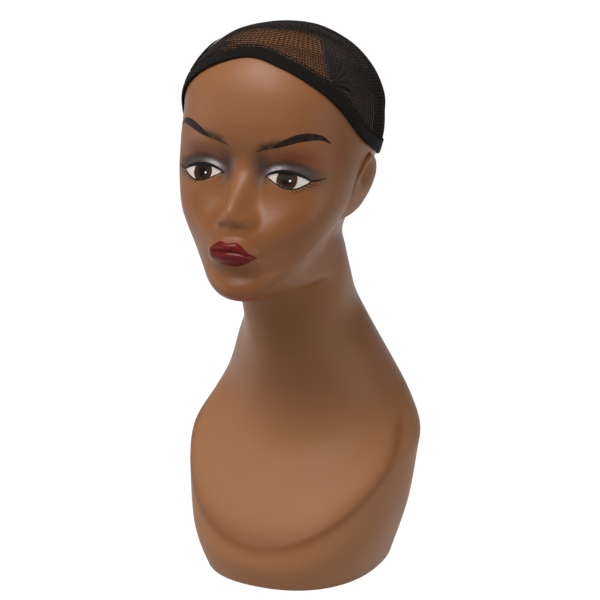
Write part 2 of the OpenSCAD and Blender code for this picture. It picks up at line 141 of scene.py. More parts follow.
@dataclass(frozen=True)
class FaceRelief:
    """Rise of the moulded face over the plain head, at places given as left and height."""

    nose_rise: float = 19.5
    nose_half: float = 8.9
    eye_in: float = 18.5
    eye_out: float = 51.7
    eye_in_h: float = 1.5
    eye_out_h: float = 0.7
    upper_lid: float = 4.6
    lower_lid: float = 6.9
    mouth_half: float = 20.0
    mouth_h: float = -54.0
    mouth_droop: float = 4.2
    upper_lip: float = 7.6
    lower_lip: float = 11.4
    # Rises of the upper and lower lid's rim, and depths of the eye between them and of the crease above.
    lid_rims: tuple[float, float] = (0.9, 0.5)
    eye_depth: float = 0.8
    crease_depth: float = 1.3
    # Rises of the upper and lower lip and depth of the line between them.
    lip_rises: tuple[float, float] = (3.6, 4.6)
    parting_depth: float = 2.2
    # Height by which the right brow is painted over the left one.
    right_brow_lift: float = 3.6
    # Height on the face and depth by which its middle lies behind the plain head, round the eyes.
    set_back: tuple = ((-46, 0), (-34, 2.2), (-22, 5.5), (-10, 8.6), (2, 10), (12, 7.5), (22, 4.2), (32, 1.6),
                       (42, 0))
    set_back_half: float = 62.0
    # Height on the face and share of the nose's rise, down its ridge.
    ridge: tuple = ((-45, 0), (-41.5, 0.1), (-38, 0.28), (-34.5, 0.52), (-31, 0.75), (-27, 0.92), (-23, 0.97),
                    (-18.5, 0.89), (-12.5, 0.69), (-6, 0.47), (0, 0.29), (6, 0.13), (12, 0.03), (20, 0))
    # Height on the face and share of the nose's half width.
    ridge_width: tuple = ((-44, 1.25), (-36, 1.1), (-30, 1.0), (-24, 0.93), (-16, 0.84), (-8, 0.84),
                          (4, 0.95), (14, 1.2), (28, 1.5))
    # Rise, distance from the middle, height, half width and half height of the round swellings.
    swellings: tuple = (
        (4.6, 11.8, -31, 4.8, 5.2), (-1.4, 5.6, -37, 2.8, 2.4),
        (-3.4, 35, 9.0, 17, 6.5), (-2.4, 14.5, 6, 5.5, 9), (2.6, 35.2, 0.4, 14, 8.5),
        (1.8, 36, 25, 21, 6.5),
        (2.9, 45, -23, 17, 14), (-2.2, 41, -54, 12, 15), (0.9, 25, -34, 9, 11),
        (8.6, 0, -53.5, 17.5, 11.5), (-0.7, 0, -71, 13, 4.2), (2.6, 0, -83, 13, 8), (-0.8, 22.5, -59, 2.6, 3))

    def lid_share(self, u: Array) -> Array:
        """Place across the eye, 0 at its inner and 1 at its outer corner."""
        return np.clip((np.abs(u) - self.eye_in) / (self.eye_out - self.eye_in), 0.0, 1.0)

    def lid_base(self, u: Array) -> Array:
        """Line through the corners of the eye."""
        return self.eye_in_h + (self.eye_out_h - self.eye_in_h) * self.lid_share(u)

    def upper_lid_h(self, u: Array) -> Array:
        """Edge of the upper lid."""
        return self.lid_base(u) + self.upper_lid * np.sin(np.pi * self.lid_share(u) ** 0.9) ** 0.8

    def lower_lid_h(self, u: Array) -> Array:
        """Edge of the lower lid."""
        return self.lid_base(u) - self.lower_lid * np.sin(np.pi * self.lid_share(u) ** 1.2) ** 0.95

    def mouth_line_h(self, u: Array) -> Array:
        """Line between the lips."""
        a = np.abs(u) / self.mouth_half
        return self.mouth_h - self.mouth_droop * a**1.6 - 0.9 * bell(u, 4.0)

    def upper_lip_h(self, u: Array) -> Array:
        """Upper border of the lips, with its bow.

        Args:
            u: Distances to the left of the middle.

        Returns:
            Heights over the eye line.
        """
        a = np.clip(np.abs(u) / self.mouth_half, 0.0, 1.0)
        return (self.mouth_line_h(u) + self.upper_lip * (1 - a**2) - 1.2 * bell(u, 4.2)
                + 1.4 * bell(np.abs(u) - 8.5, 4.5) * (1 - a))

    def lower_lip_h(self, u: Array) -> Array:
        """Lower border of the lips."""
        a = np.clip(np.abs(u) / self.mouth_half, 0.0, 1.0)
        return self.mouth_line_h(u) - self.lower_lip * (1 - a**2.2)

    def eye_relief(self, u: Array, h: Array) -> Array:
        """Lid rims, the opening between them and the crease over the upper lid.

        Args:
            u: Distances to the left of the middle.
            h: Heights over the eye line.

        Returns:
            The rise at each place.
        """
        a = np.abs(u)
        upper, lower = self.upper_lid_h(u), self.lower_lid_h(u)
        across = smooth((a - self.eye_in + 1.0) / 2.5) * smooth((self.eye_out + 1.0 - a) / 2.5)
        opening = across * smooth((upper - h) / 1.8 + 0.5) * smooth((h - lower) / 1.8 + 0.5)
        high_rim, low_rim = self.lid_rims
        rims = across * (high_rim * bell(h - upper - 1.2, 1.7) + low_rim * bell(h - lower + 1.0, 1.4))
        crease = smooth((a - self.eye_in + 4.0) / 7.0) * smooth((self.eye_out + 7.0 - a) / 9.0)
        return rims - self.eye_depth * opening - self.crease_depth * crease * bell(h - upper - 6.4, 1.9)

    def mouth_relief(self, u: Array, h: Array) -> Array:
        """Lips, the line between them and their raised border.

        Args:
            u: Distances to the left of the middle.
            h: Heights over the eye line.

        Returns:
            The rise at each place.
        """
        line, upper, lower = self.mouth_line_h(u), self.upper_lip_h(u), self.lower_lip_h(u)
        open_part = smooth((self.mouth_half + 2.5 - np.abs(u)) / 9.0)
        lips = (self.lip_rises[0] * bell(h - (line + upper) / 2 + 0.3, 4.0, 2.4)
                + self.lip_rises[1] * bell(h - (line + lower) / 2, 4.8, 2.6))
        return open_part * (lips - self.parting_depth * bell(h - line, 1.4) + 0.1 * bell(h - upper, 1.6))

    def hollow(self, u: Array, h: Array) -> Array:
        """Depth of the face round the eyes behind the plain head."""
        return curve(h, self.set_back) * np.maximum(1 - (u / self.set_back_half) ** 2, 0.0)

    def rise(self, u: Array, h: Array) -> Array:
        """Forward rise over the plain head.

        Args:
            u: Distances to the left of the middle.
            h: Heights over the eye line.

        Returns:
            The rise at each place.
        """
        half = self.nose_half * curve(h, self.ridge_width)
        total = self.nose_rise * curve(h, self.ridge) * bell(u, half, 2.3)
        for lift, at_u, at_h, half_u, half_h in self.swellings:
            total = total + lift * bell(np.abs(u) - at_u, half_u) * bell(h - at_h, half_h)
        return total - self.hollow(u, h) + self.eye_relief(u, h) + self.mouth_relief(u, h)


@dataclass(frozen=True)
class EarShape:
    """Ear: a leaf that leans back, proud along its rear edge, with a slot behind its front fold."""

    middle: tuple[float, float] = (-0.5, -5.0)
    lean: float = 21.0
    length: float = 57.0
    width: float = 31.0
    lift: float = 8.0
    root: float = -3.0
    slot_depth: float = 3.0
    fold_rise: float = 2.2

    def place(self, across: Array, share: Array) -> tuple[Array, Array]:
        """Forward and height on the side of the head.

        Args:
            across: Place across the leaf, 1 at its front edge and -1 at its rear edge.
            share: Place along the leaf, -1 at the lobe and 1 at the top.

        Returns:
            Distances forward of the head's middle and heights over the eye line.
        """
        lean = math.radians(self.lean)
        ahead = across * self.width / 2 * np.sqrt(1 - np.abs(share) ** (2.6 + 0.8 * share))
        up = share * self.length / 2
        return (self.middle[0] + ahead * math.cos(lean) - up * math.sin(lean),
                self.middle[1] + ahead * math.sin(lean) + up * math.cos(lean))

    def rise(self, across: Array, share: Array) -> Array:
        """Rise over the plain side of the head, sunk to the root all round the leaf.

        Args:
            across: Place across the leaf, 1 at its front edge and -1 at its rear edge.
            share: Place along the leaf, -1 at the lobe and 1 at the top.

        Returns:
            The rise at each place.
        """
        rear = np.clip((-across - 0.7) / 0.3, 0.0, 1.0)
        front = np.clip((across - 0.86) / 0.14, 0.0, 1.0)
        lobe = np.clip((-share - 0.35) / 0.65, 0.0, 1.0)
        top = np.clip((share - 0.45) / 0.55, 0.0, 1.0)
        edge = np.sqrt((1 - np.maximum(rear, front) ** 2) * (1 - np.maximum(lobe, top) ** 2))
        body = self.lift * (0.5 - 0.46 * across + 0.16 * share)
        along_slot = smooth((share + 0.15) / 0.45) * smooth((0.8 - share) / 0.3)
        slot = self.slot_depth * bell(across - 0.35, 0.36) * along_slot
        fold = self.fold_rise * bell(across - 0.8, 0.2) * smooth((share + 0.1) / 0.5)
        return self.root + (body - slot + fold - self.root) * edge


@dataclass
class FigureShape:
    """Skin of head, neck and bust as rows of rings, each through a front, a side and a back place."""

    eye_z: float = 330.0
    head_f: float = 43.0
    face_lift: float = 8.5
    foot_w: float = 143.0
    foot_l: float = 170.0
    bust_w: float = 190.0
    bust_l: float = 180.0
    edge_front_z: float = 36.5
    edge_side_z: float = 95.0
    edge_back_z: float = 105.0
    neck_w: float = 92.0
    wall: float = 4.0
    floor_w: float = 20.0
    rim_z: float = 1.0
    floor_z: float = 10.5
    face: FaceRelief = field(default_factory=FaceRelief)
    ear: EarShape = field(default_factory=EarShape)
    # Rows of the head from the throat to the crown, in the head's frame, with the columns before HANG.
    head_rows: tuple = (
        (0, -91, 49.5, -28, -73, -68.5, -70.5, 2, 2),
        (37, -95, 47.5, -14.5, -54.5, -68, -54.5, 2, 2),
        (60.5, -94, 46, -2, -43.5, -70.5, -42, 2, 2),
        (70, -90.5, 48.5, 4, -36, -76, -28.5, 2, 2),
        (72, -82, 53, 6.5, -31, -82.5, -17.5, 2, 2),
        (70, -73, 58, 10, -26, -90, -7.5, 2.1, 1.9),
        (73.5, -60, 62, 12, -20.5, -97, 3, 2.15, 1.9),
        (77, -43.5, 66.5, 14, -10, -102, 14.5, 2.2, 1.9),
        (73.5, -22.5, 69, 15, 3, -104, 26, 2.4, 1.9),
        (74.5, -1, 71.5, 9, 16, -104, 37, 2.5, 1.9),
        (75.5, 19.5, 72.5, 2, 29.5, -102, 49, 2.5, 1.9),
        (78, 41.5, 72.5, -1.5, 44, -95, 61.5, 2.4, 1.9),
        (77, 66.5, 71.5, -2, 59.5, -84.5, 74, 2.3, 2),
        (66, 89.5, 63, -4, 79.5, -70.5, 89.5, 2.1, 2),
        (41, 107.5, 46.5, -8, 98, -51, 103.5, 2, 2),
        (10, 114, 23.5, -10.5, 109.5, -30, 113.5, 2, 2),
        (-11, 115, 0, -11, 115, -11, 115, 2, 2))
    # Rows of the neck: shares of the way from shoulder to throat at front, side and back, share of the way
    # from the bust's width to the neck's, then how far front, side and back draw in behind a straight line.
    neck_rows: tuple = (
        (0.141, 0.16, 0.19, 0.24, 13.1, 15, 6.5),
        (0.323, 0.32, 0.41, 0.495, 28.4, 19, 9.5),
        (0.504, 0.54, 0.64, 0.76, 26.3, 17, 9.5),
        (0.731, 0.77, 0.86, 1, 12.3, 17, 8))
    # Row of the wall: shares of the edge's height at front, side and back, how far its front stands out, and
    # shares of the way from foot to edge at its side and back.
    wall_z: tuple[float, float, float] = (0.54, 0.485, 0.55)
    wall_out: tuple[float, float, float] = (2.0, 0.65, 0.8)
    # Row of the chest over the edge: rises at front, side and back, and how far front and back draw in.
    chest_z: tuple[float, float, float] = (16.0, 14.5, 22.0)
    chest_in: tuple[float, float] = (10.0, 4.0)
    edge_t: float = 2.0
    edge_round: float = 0.11
    row_step: float = 0.004
    # Steps in row places and radians over which slopes of the skin are taken.
    step_t: float = 0.03
    step_a: float = 0.01
    # Step on the face over which its slopes are taken.
    face_step: float = 0.15
    # Row places between which the places on the head are searched, and number of halvings.
    search: tuple[float, float] = (9.5, 22.0)
    halvings: int = 34

    def to_world(self, f: Array, h: Array) -> tuple[Array, Array]:
        """Forward and up of a place in the head's frame."""
        c, s = math.cos(math.radians(self.face_lift)), math.sin(math.radians(self.face_lift))
        return self.head_f + f * c - h * s, self.eye_z + f * s + h * c

    def to_head(self, f: Array, z: Array) -> tuple[Array, Array]:
        """Forward and height in the head's frame of a place on the figure."""
        c, s = math.cos(math.radians(self.face_lift)), math.sin(math.radians(self.face_lift))
        return (f - self.head_f) * c + (z - self.eye_z) * s, (z - self.eye_z) * c - (f - self.head_f) * s

    @cached_property
    def rows(self) -> Array:
        """All rows from the foot to the crown.

        Returns:
            One row of columns for each whole row place.
        """
        head = np.array(self.head_rows, float)
        for f_col, z_col in ((Column.FRONT_F, Column.FRONT_Z), (Column.SIDE_F, Column.SIDE_Z),
                             (Column.BACK_F, Column.BACK_Z)):
            head[:, f_col], head[:, z_col] = self.to_world(head[:, f_col], head[:, z_col])
        head = np.column_stack([head, np.ones(len(head))])
        bust_f, bust_x, foot_f, foot_x = self.bust_l / 2, self.bust_w / 2, self.foot_l / 2, self.foot_w / 2
        edge_x = bust_x - 0.5
        edge_z = np.array([self.edge_front_z, self.edge_side_z, self.edge_back_z])
        front_z, side_z, back_z = edge_z
        foot = [foot_f, self.rim_z, foot_x, 1, self.rim_z, -foot_f, self.rim_z, 2.3, 2.2, 1]
        edge = [bust_f, front_z, edge_x, -7, side_z, -bust_f, back_z, 2, 2, 2]
        front_z, side_z, back_z = edge_z * np.array(self.wall_z)
        out, share_x, share_f = self.wall_out
        wall = [bust_f + out, front_z, foot_x + share_x * (edge_x - foot_x), -4, side_z,
                -foot_f - share_f * (bust_f - foot_f), back_z, 2.2, 2.1, 1.5]
        front_z, side_z, back_z = edge_z + np.array(self.chest_z)
        front_in, back_in = self.chest_in
        chest = np.array([bust_f - front_in, front_z, bust_x, -11, side_z,
                          back_in - bust_f, back_z, 2, 2, 1.9])
        neck = []
        for front, beside, behind, narrow, in_f, in_s, in_b in self.neck_rows:
            share = np.array([front, front, narrow, beside, beside, behind, behind, 0, 0, beside])
            row = chest + (head[0] - chest) * share - np.array([in_f, 0, 0, in_s, 0, in_b, 0, 0, 0, 0])
            row[Column.SIDE_X] = bust_x + (self.neck_w / 2 - bust_x) * narrow
            neck.append(row)
        return np.vstack([foot, wall, edge, chest, *neck, head])

    @property
    def crown_t(self) -> float:
        """Row place of the crown."""
        return float(len(self.rows) - 1)

    @cached_property
    def fine_rows(self) -> Array:
        """Rows at close steps: smooth above and below the bust's edge, and rounded along it.

        Returns:
            One row of columns for each step.
        """
        t = np.arange(0.0, self.crown_t + self.row_step / 2, self.row_step)
        reach = self.edge_round * smooth(1 - np.abs(t - self.edge_t) / (4 * self.edge_round))
        return (self.bent_row(t - reach) + 2 * self.bent_row(t) + self.bent_row(t + reach)) / 4

    def row_at(self, t: Array) -> Array:
        """Row at real row places.

        Args:
            t: Row places.

        Returns:
            A row for each place, on a new last axis.
        """
        x = np.clip(np.asarray(t, float) / self.row_step, 0, len(self.fine_rows) - 1.001)
        i = x.astype(int)
        return self.fine_rows[i] + (self.fine_rows[i + 1] - self.fine_rows[i]) * (x - i)[..., None]

    def bent_row(self, t: Array) -> Array:
        """Row at real row places, with a sharp bend at the bust's edge.

        Args:
            t: Row places.

        Returns:
            A row for each place, on a new last axis.
        """
        edge = int(self.edge_t)
        t = np.asarray(t, float)
        low = cubic(self.rows[:edge + 1], np.clip(t, 0, edge))
        high = cubic(self.rows[edge:], np.maximum(t - edge, 0))
        return np.where((t < edge)[..., None], low, high)

    def plain(self, t: Array, a: Array) -> Array:
        """Plain skin at row places t and angles a in radians, 0 at the front and a quarter turn at the left.

        Args:
            t: Row places.
            a: Angles, of a shape that fits t.

        Returns:
            Left, forward and up on a new last axis.
        """
        t, a = np.broadcast_arrays(np.asarray(t, float), np.asarray(a, float))
        r = np.moveaxis(self.row_at(t), -1, 0)
        front = np.cos(a) >= 0
        power = 2.0 / np.where(front, r[Column.ROUND_F], r[Column.ROUND_B])
        ahead, aside = np.abs(np.cos(a)) ** power, np.abs(np.sin(a)) ** power
        end_f = np.where(front, r[Column.FRONT_F], r[Column.BACK_F])
        end_z = np.where(front, r[Column.FRONT_Z], r[Column.BACK_Z])
        side_f, side_z = r[Column.SIDE_F], r[Column.SIDE_Z]
        hang = ahead ** np.where(front, r[Column.HANG], 1.0)
        return np.stack([np.sign(np.sin(a)) * r[Column.SIDE_X] * aside,
                         side_f + (end_f - side_f) * ahead, side_z + (end_z - side_z) * hang], -1)

    def normal(self, t: Array, a: Array) -> Array:
        """Outward normal of the plain skin.

        Args:
            t: Row places.
            a: Angles in radians, 0 at the front.

        Returns:
            Vectors of length 1 on a new last axis.
        """
        t, a = np.asarray(t, float), np.asarray(a, float)
        high, low = np.minimum(t + self.step_t, self.crown_t), np.maximum(t - self.step_t, 0)
        turn = self.plain(t, a + self.step_a) - self.plain(t, a - self.step_a)
        return unit(np.cross(self.plain(high, a) - self.plain(low, a), turn))

    def off_skin(self, t: Array, a: Array, out: Union[float, Array]) -> Array:
        """Places a distance out from the plain skin."""
        return self.plain(t, a) + np.asarray(out)[..., None] * self.normal(t, a)

    @staticmethod
    def facing(a: Array) -> Array:
        """Share of the face's relief at angles in radians, from 1 at the front to 0 beside the ears."""
        return smooth((np.cos(a) - 0.12) / 0.3)

    def dressed(self, t: Array, a: Array) -> Array:
        """Skin with its face, at row places t and angles a.

        Args:
            t: Row places.
            a: Angles in radians, 0 at the front.

        Returns:
            Left, forward and up on a new last axis.
        """
        p = self.plain(t, a)
        t, a = np.broadcast_arrays(np.asarray(t, float), np.asarray(a, float))
        f, h = self.to_head(p[..., 1], p[..., 2])
        on_face = self.facing(a) * smooth((h + 100.0) / 6.0)
        world_f, world_z = self.to_world(f + on_face * self.face.rise(p[..., 0], h), h)
        return np.stack([p[..., 0], world_f, world_z], -1)

    def _side_at(self, t: Array, f: Array) -> tuple[Array, Array]:
        """Distance aside and height of the plain head at row places t and distances forward f.

        Args:
            t: Row places.
            f: Distances forward.

        Returns:
            Distances aside and heights.
        """
        r = np.moveaxis(self.row_at(t), -1, 0)
        ahead = f - r[Column.SIDE_F]
        front = ahead >= 0
        reach = np.where(front, r[Column.FRONT_F] - r[Column.SIDE_F], r[Column.SIDE_F] - r[Column.BACK_F])
        share = np.clip(np.abs(ahead) / reach, 0.0, 1.0)
        end_z = np.where(front, r[Column.FRONT_Z], r[Column.BACK_Z])
        n = np.where(front, r[Column.ROUND_F], r[Column.ROUND_B])
        z = r[Column.SIDE_Z] + (end_z - r[Column.SIDE_Z]) * share
        return r[Column.SIDE_X] * (1 - share**n) ** (1 / n), z

    def _row_where(self, height: Callable[[Array], Array], wanted: Array) -> Array:
        """Row places at which a height on the head has a value.

        Args:
            height: The height at row places, which rises with them.
            wanted: The values.

        Returns:
            A row place for each value.
        """
        low, high = (np.full(np.shape(wanted), end) for end in self.search)
        for _ in range(self.halvings):
            t = (low + high) / 2
            below = height(t) < wanted
            low, high = np.where(below, t, low), np.where(below, high, t)
        return (low + high) / 2

    def side_x(self, f: Array, z: Array) -> Array:
        """How far aside the plain head lies at places on its side.

        Args:
            f: Distances forward.
            z: Heights.

        Returns:
            Distance from the middle plane at each place.
        """
        return self._side_at(self._row_where(lambda t: self._side_at(t, f)[1], z), f)[0]

    def face_forward(self, u: Array, h: Array) -> Array:
        """How far forward the dressed face lies at places on it.

        Args:
            u: Distances to the left of the middle.
            h: Heights over the eye line.

        Returns:
            Distance forward of the head's middle at each place.
        """
        f, _, angle = self._front_at(self._row_where(lambda t: self._front_at(t, u)[1], h), u)
        return f + self.facing(angle) * self.face.rise(u, h)

    def _front_at(self, t: Array, u: Array) -> tuple[Array, Array, Array]:
        """Forward, height and angle of the plain front at row places t and distances u from the middle.

        Args:
            t: Row places.
            u: Distances from the middle.

        Returns:
            Distances forward, heights and angles.
        """
        r = np.moveaxis(self.row_at(t), -1, 0)
        sine = np.clip(np.abs(u) / r[Column.SIDE_X], 0, 1) ** (r[Column.ROUND_F] / 2)
        angle = np.arcsin(sine)
        p = self.plain(t, angle)
        f, h = self.to_head(p[..., 1], p[..., 2])
        return f, h, angle

    def on_face(self, u: Array, h: Array, out: Union[float, Array] = 0.0) -> Array:
        """Places on the dressed face, moved out along its normal.

        Args:
            u: Distances to the left of the middle.
            h: Heights over the eye line.
            out: Distance out from the face.

        Returns:
            Left, forward and up on a new last axis.
        """
        e = self.face_step
        f = self.face_forward(u, h)
        slope_u = (self.face_forward(u + e, h) - self.face_forward(u - e, h)) / (2 * e)
        slope_h = (self.face_forward(u, h + e) - self.face_forward(u, h - e)) / (2 * e)
        n = unit(np.stack([-slope_u, np.ones_like(f), -slope_h], -1)) * np.asarray(out)[..., None]
        world_f, world_z = self.to_world(f + n[..., 1], h + n[..., 2])
        return np.stack([u + n[..., 0], world_f, world_z], -1)


def metres(points: Array) -> Array:
    """Left, forward and up in millimetres as the frame's X, Y and Z in metres."""
    return np.asarray(points) * np.array([MM, -MM, MM])


def new_mesh(name: str, points: Array, faces: list) -> bpy.types.Object:
    """Smooth-shaded object at the origin.

    Args:
        name: Name of the piece.
        points: Vertices in metres.
        faces: Vertex numbers of each face.

    Returns:
        The new object, linked to the scene.
    """
    mesh = bpy.data.meshes.new(name)
    mesh.from_pydata(np.asarray(points).reshape(-1, 3).tolist(), [], faces)
    mesh.validate()
    mesh.shade_smooth()
    obj = bpy.data.objects.new(name, mesh)
    bpy.context.scene.collection.objects.link(obj)
    return obj


def only(obj: bpy.types.Object) -> None:
    """Selects one object alone and makes it active.

    Args:
        obj: The object.
    """
    bpy.ops.object.select_all(action="DESELECT")
    obj.select_set(True)
    bpy.context.view_layer.objects.active = obj


@contextmanager
def editing(obj: bpy.types.Object) -> Iterator[None]:
    """Edit mode on the whole of one object.

    Args:
        obj: The object.

    Yields:
        Nothing; what runs meanwhile acts on all of the object's faces.
    """
    only(obj)
    bpy.ops.object.mode_set(mode="EDIT")
    bpy.ops.mesh.select_all(action="SELECT")
    yield
    bpy.ops.object.mode_set(mode="OBJECT")


def apply_modifier(obj: bpy.types.Object, kind: str, **settings: Any) -> None:
    """Adds a modifier and applies it.

    Args:
        obj: The piece.
        kind: Blender's name of the modifier's type.
        **settings: Values of the modifier's properties.
    """
    only(obj)
    modifier = obj.modifiers.new(kind.lower(), kind)
    for key, value in settings.items():
        setattr(modifier, key, value)
    bpy.ops.object.modifier_apply(modifier=modifier.name)


def clean(obj: bpy.types.Object, distance: float = 1e-6) -> None:
    """Merges doubled points and turns all faces outwards.

    Args:
        obj: The piece.
        distance: Distance in metres under which points are merged.
    """
    with editing(obj):
        bpy.ops.mesh.remove_doubles(threshold=distance)
        bpy.ops.mesh.normals_make_consistent(inside=False)


def grid_faces(rows: int, columns: int, wrap: bool, first: int = 0, turn: bool = False) -> list:
    """Quads of a grid of points, row by row.

    Args:
        rows: Number of rows.
        columns: Number of points in a row.
        wrap: Whether each row closes on itself.
        first: Number of the first point.
        turn: Whether the faces look the other way.

    Returns:
        Vertex numbers of each quad.
    """
    faces = []
    for i in range(rows - 1):
        for k in range(columns if wrap else columns - 1):
            n = (k + 1) % columns
            quad = (first + i * columns + k, first + i * columns + n,
                    first + (i + 1) * columns + n, first + (i + 1) * columns + k)
            faces.append(quad[::-1] if turn else quad)
    return faces


def stack_object(name: str, rings: Array, bottom: Array, top: Array) -> bpy.types.Object:
    """Closed surface of rings in (left, forward, up) with a point at each end.

    Args:
        name: Name of the piece.
        rings: Points by ring and place round it.
        bottom: Point that closes the first ring.
        top: Point that closes the last ring.

    Returns:
        The new piece.
    """
    rows, columns = rings.shape[:2]
    points = np.vstack([rings.reshape(-1, 3), bottom[None], top[None]])
    faces = grid_faces(rows, columns, True)
    first, last = rows * columns, (rows - 1) * columns
    faces += [(first, (k + 1) % columns, k) for k in range(columns)]
    faces += [(first + 1, last + k, last + (k + 1) % columns) for k in range(columns)]
    return new_mesh(name, metres(points), faces)


def loop_object(name: str, rings: Array) -> bpy.types.Object:
    """Closed ring of section points: rings[section, around].

    Args:
        name: Name of the piece.
        rings: Points by place round the section and place along the loop.

    Returns:
        The new piece.
    """
    rows, columns = rings.shape[:2]
    closed = np.concatenate([rings, rings[:1]])
    obj = new_mesh(name, metres(closed), grid_faces(rows + 1, columns, True))
    clean(obj)
    return obj


def film_object(name: str, over: Array, under: Array) -> bpy.types.Object:
    """Closed thin piece between two grids of points of one shape.

    Args:
        name: Name of the piece.
        over: Outer points by row and column.
        under: Inner points by row and column.

    Returns:
        The new piece.
    """
    rows, columns = over.shape[:2]
    count = rows * columns
    faces = grid_faces(rows, columns, False) + grid_faces(rows, columns, False, count, True)
    edge = (list(range(columns)) + [i * columns + columns - 1 for i in range(1, rows)]
            + [(rows - 1) * columns + k for k in range(columns - 2, -1, -1)]
            + [i * columns for i in range(rows - 2, 0, -1)])
    for k, a in enumerate(edge):
        b = edge[(k + 1) % len(edge)]
        faces.append((b, a, count + a, count + b))
    obj = new_mesh(name, metres(np.concatenate([over.reshape(-1, 3), under.reshape(-1, 3)])), faces)
    clean(obj, 2e-6)
    return obj


def join(name: str, objects: Sequence[bpy.types.Object]) -> bpy.types.Object:
    """Joins objects into one piece of that name.

    Args:
        name: Name of the piece.
        objects: Objects to join; the first one stays.

    Returns:
        The joined piece.
    """
    only(objects[0])
    for obj in objects[1:]:
        obj.select_set(True)
    bpy.ops.object.join()
    objects[0].name = objects[0].data.name = name
    return objects[0]


class Value:
    """A shader value: an output socket with Python's operators."""

    def __init__(self, graph: "Graph", socket: bpy.types.NodeSocket) -> None:
        """Wraps an output socket of a graph."""
        self.graph = graph
        self.socket = socket

    def __add__(self, other: "Number") -> "Value":
        """Sum."""
        return self.graph.math("ADD", self, other)

    __radd__ = __add__

    def __sub__(self, other: "Number") -> "Value":
        """Difference."""
        return self.graph.math("SUBTRACT", self, other)

    def __rsub__(self, other: "Number") -> "Value":
        """Difference from a number."""
        return self.graph.math("SUBTRACT", other, self)

    def __mul__(self, other: "Number") -> "Value":
        """Product."""
        return self.graph.math("MULTIPLY", self, other)

    __rmul__ = __mul__

    def __pow__(self, other: "Number") -> "Value":
        """Power."""
        return self.graph.math("POWER", self, other)

    def __abs__(self) -> "Value":
        """Size without its sign."""
        return self.graph.math("ABSOLUTE", self)


Number = Union[Value, float]


class Graph:
    """Node tree of one material or world, with its shader."""

    def __init__(self, name: str, owners: Any = None, shader: str = "Principled BSDF") -> None:
        """Makes a material or world.

        Args:
            name: Its name.
            owners: Blender's collection that it is made in, the materials if none is given.
            shader: Name of its shader node.
        """
        self.block = (bpy.data.materials if owners is None else owners).new(name)
        self.block.use_nodes = True
        self.tree = self.block.node_tree
        self.shader = self.tree.nodes[shader]

    def node(self, kind: str, settings: Optional[dict] = None,
             inputs: Optional[dict] = None) -> bpy.types.Node:
        """Adds a node.

        Args:
            kind: Blender's name of the node's type.
            settings: Values of the node's own properties.
            inputs: Values or links of its sockets, by name or number.

        Returns:
            The new node.
        """
        node = self.tree.nodes.new(kind)
        for key, value in (settings or {}).items():
            setattr(node, key, value)
        for key, value in (inputs or {}).items():
            self.feed(node.inputs[key], value)
        return node

    def feed(self, socket: bpy.types.NodeSocket, value: Any) -> None:
        """Links a value to a socket, or sets the socket to a number or colour.

        Args:
            socket: The input.
            value: Shader value, number or colour.
        """
        if isinstance(value, Value):
            self.tree.links.new(value.socket, socket)
        elif isinstance(value, tuple) and len(value) == 3 and socket.type == "RGBA":
            socket.default_value = (*value, 1.0)
        else:
            socket.default_value = value

    def out(self, kind: str, settings: Optional[dict] = None, inputs: Optional[dict] = None,
            socket: Union[int, str] = 0) -> Value:
        """Adds a node and wraps one of its outputs."""
        return Value(self, self.node(kind, settings, inputs).outputs[socket])

    def math(self, operation: str, *values: Number) -> Value:
        """Adds a Math node."""
        return self.out("ShaderNodeMath", {"operation": operation}, dict(enumerate(values)))

    def step(self, low: float, high: float, value: Number) -> Value:
        """Smooth step of a value from 0 at low to 1 at high."""
        inputs = {"Value": value, "From Min": low, "From Max": high}
        return self.out("ShaderNodeMapRange", {"interpolation_type": "SMOOTHSTEP"}, inputs)

    def bell(self, value: Value, half: float) -> Value:
        """Bump of height 1 that falls to a half at the distance half."""
        return self.math("POWER", 0.5, (value * (1.0 / half)) ** 2.0)

    def blend(self, share: Number, first: Any, second: Any) -> Value:
        """Mixes two colours.

        Args:
            share: Share of the second colour.
            first: Colour at a share of 0.
            second: Colour at a share of 1.

        Returns:
            The mixed colour.
        """
        node = self.node("ShaderNodeMix", {"data_type": "RGBA", "clamp_factor": True})
        self.feed(node.inputs[0], share)
        self.feed(node.inputs[6], first)
        self.feed(node.inputs[7], second)
        return Value(self, node.outputs[2])

    def place(self) -> tuple[Value, Value, Value]:
        """Object coordinates in millimetres: left, forward and up.

        Returns:
            The three values.
        """
        xyz = self.node("ShaderNodeSeparateXYZ", None, {0: self.object_vector()})
        left, back, up = (Value(self, s) for s in xyz.outputs)
        return left * (1.0 / MM), back * (-1.0 / MM), up * (1.0 / MM)

    def face_place(self, shape: FigureShape) -> tuple[Value, Value]:
        """Place on the face, in the frame of the lifted head.

        Args:
            shape: Shape of the figure.

        Returns:
            Left and height over the eye line.
        """
        left, forward, up = self.place()
        lift = math.radians(shape.face_lift)
        return left, (up - shape.eye_z) * math.cos(lift) - (forward - shape.head_f) * math.sin(lift)

    def object_vector(self) -> Value:
        """Object coordinates as a vector."""
        return self.out("ShaderNodeTexCoord", None, None, "Object")

    def noise(self, scale: float, detail: float = 2.0, rough: float = 0.5) -> Value:
        """Noise over the object.

        Args:
            scale: Features to the metre.
            detail: Number of finer layers.
            rough: Strength of the finer layers.

        Returns:
            The noise, from 0 to 1.
        """
        inputs = {"Vector": self.object_vector(), "Scale": scale, "Detail": detail, "Roughness": rough}
        return self.out("ShaderNodeTexNoise", None, inputs)

    def bump(self, height: Value, strength: float, distance: float) -> None:
        """Bumps the surface by a height."""
        inputs = {"Height": height, "Strength": strength, "Distance": distance}
        self.set("Normal", self.out("ShaderNodeBump", None, inputs))

    def set(self, name: str, value: Any) -> None:
        """Sets or links a socket of the surface shader."""
        self.feed(self.shader.inputs[name], value)


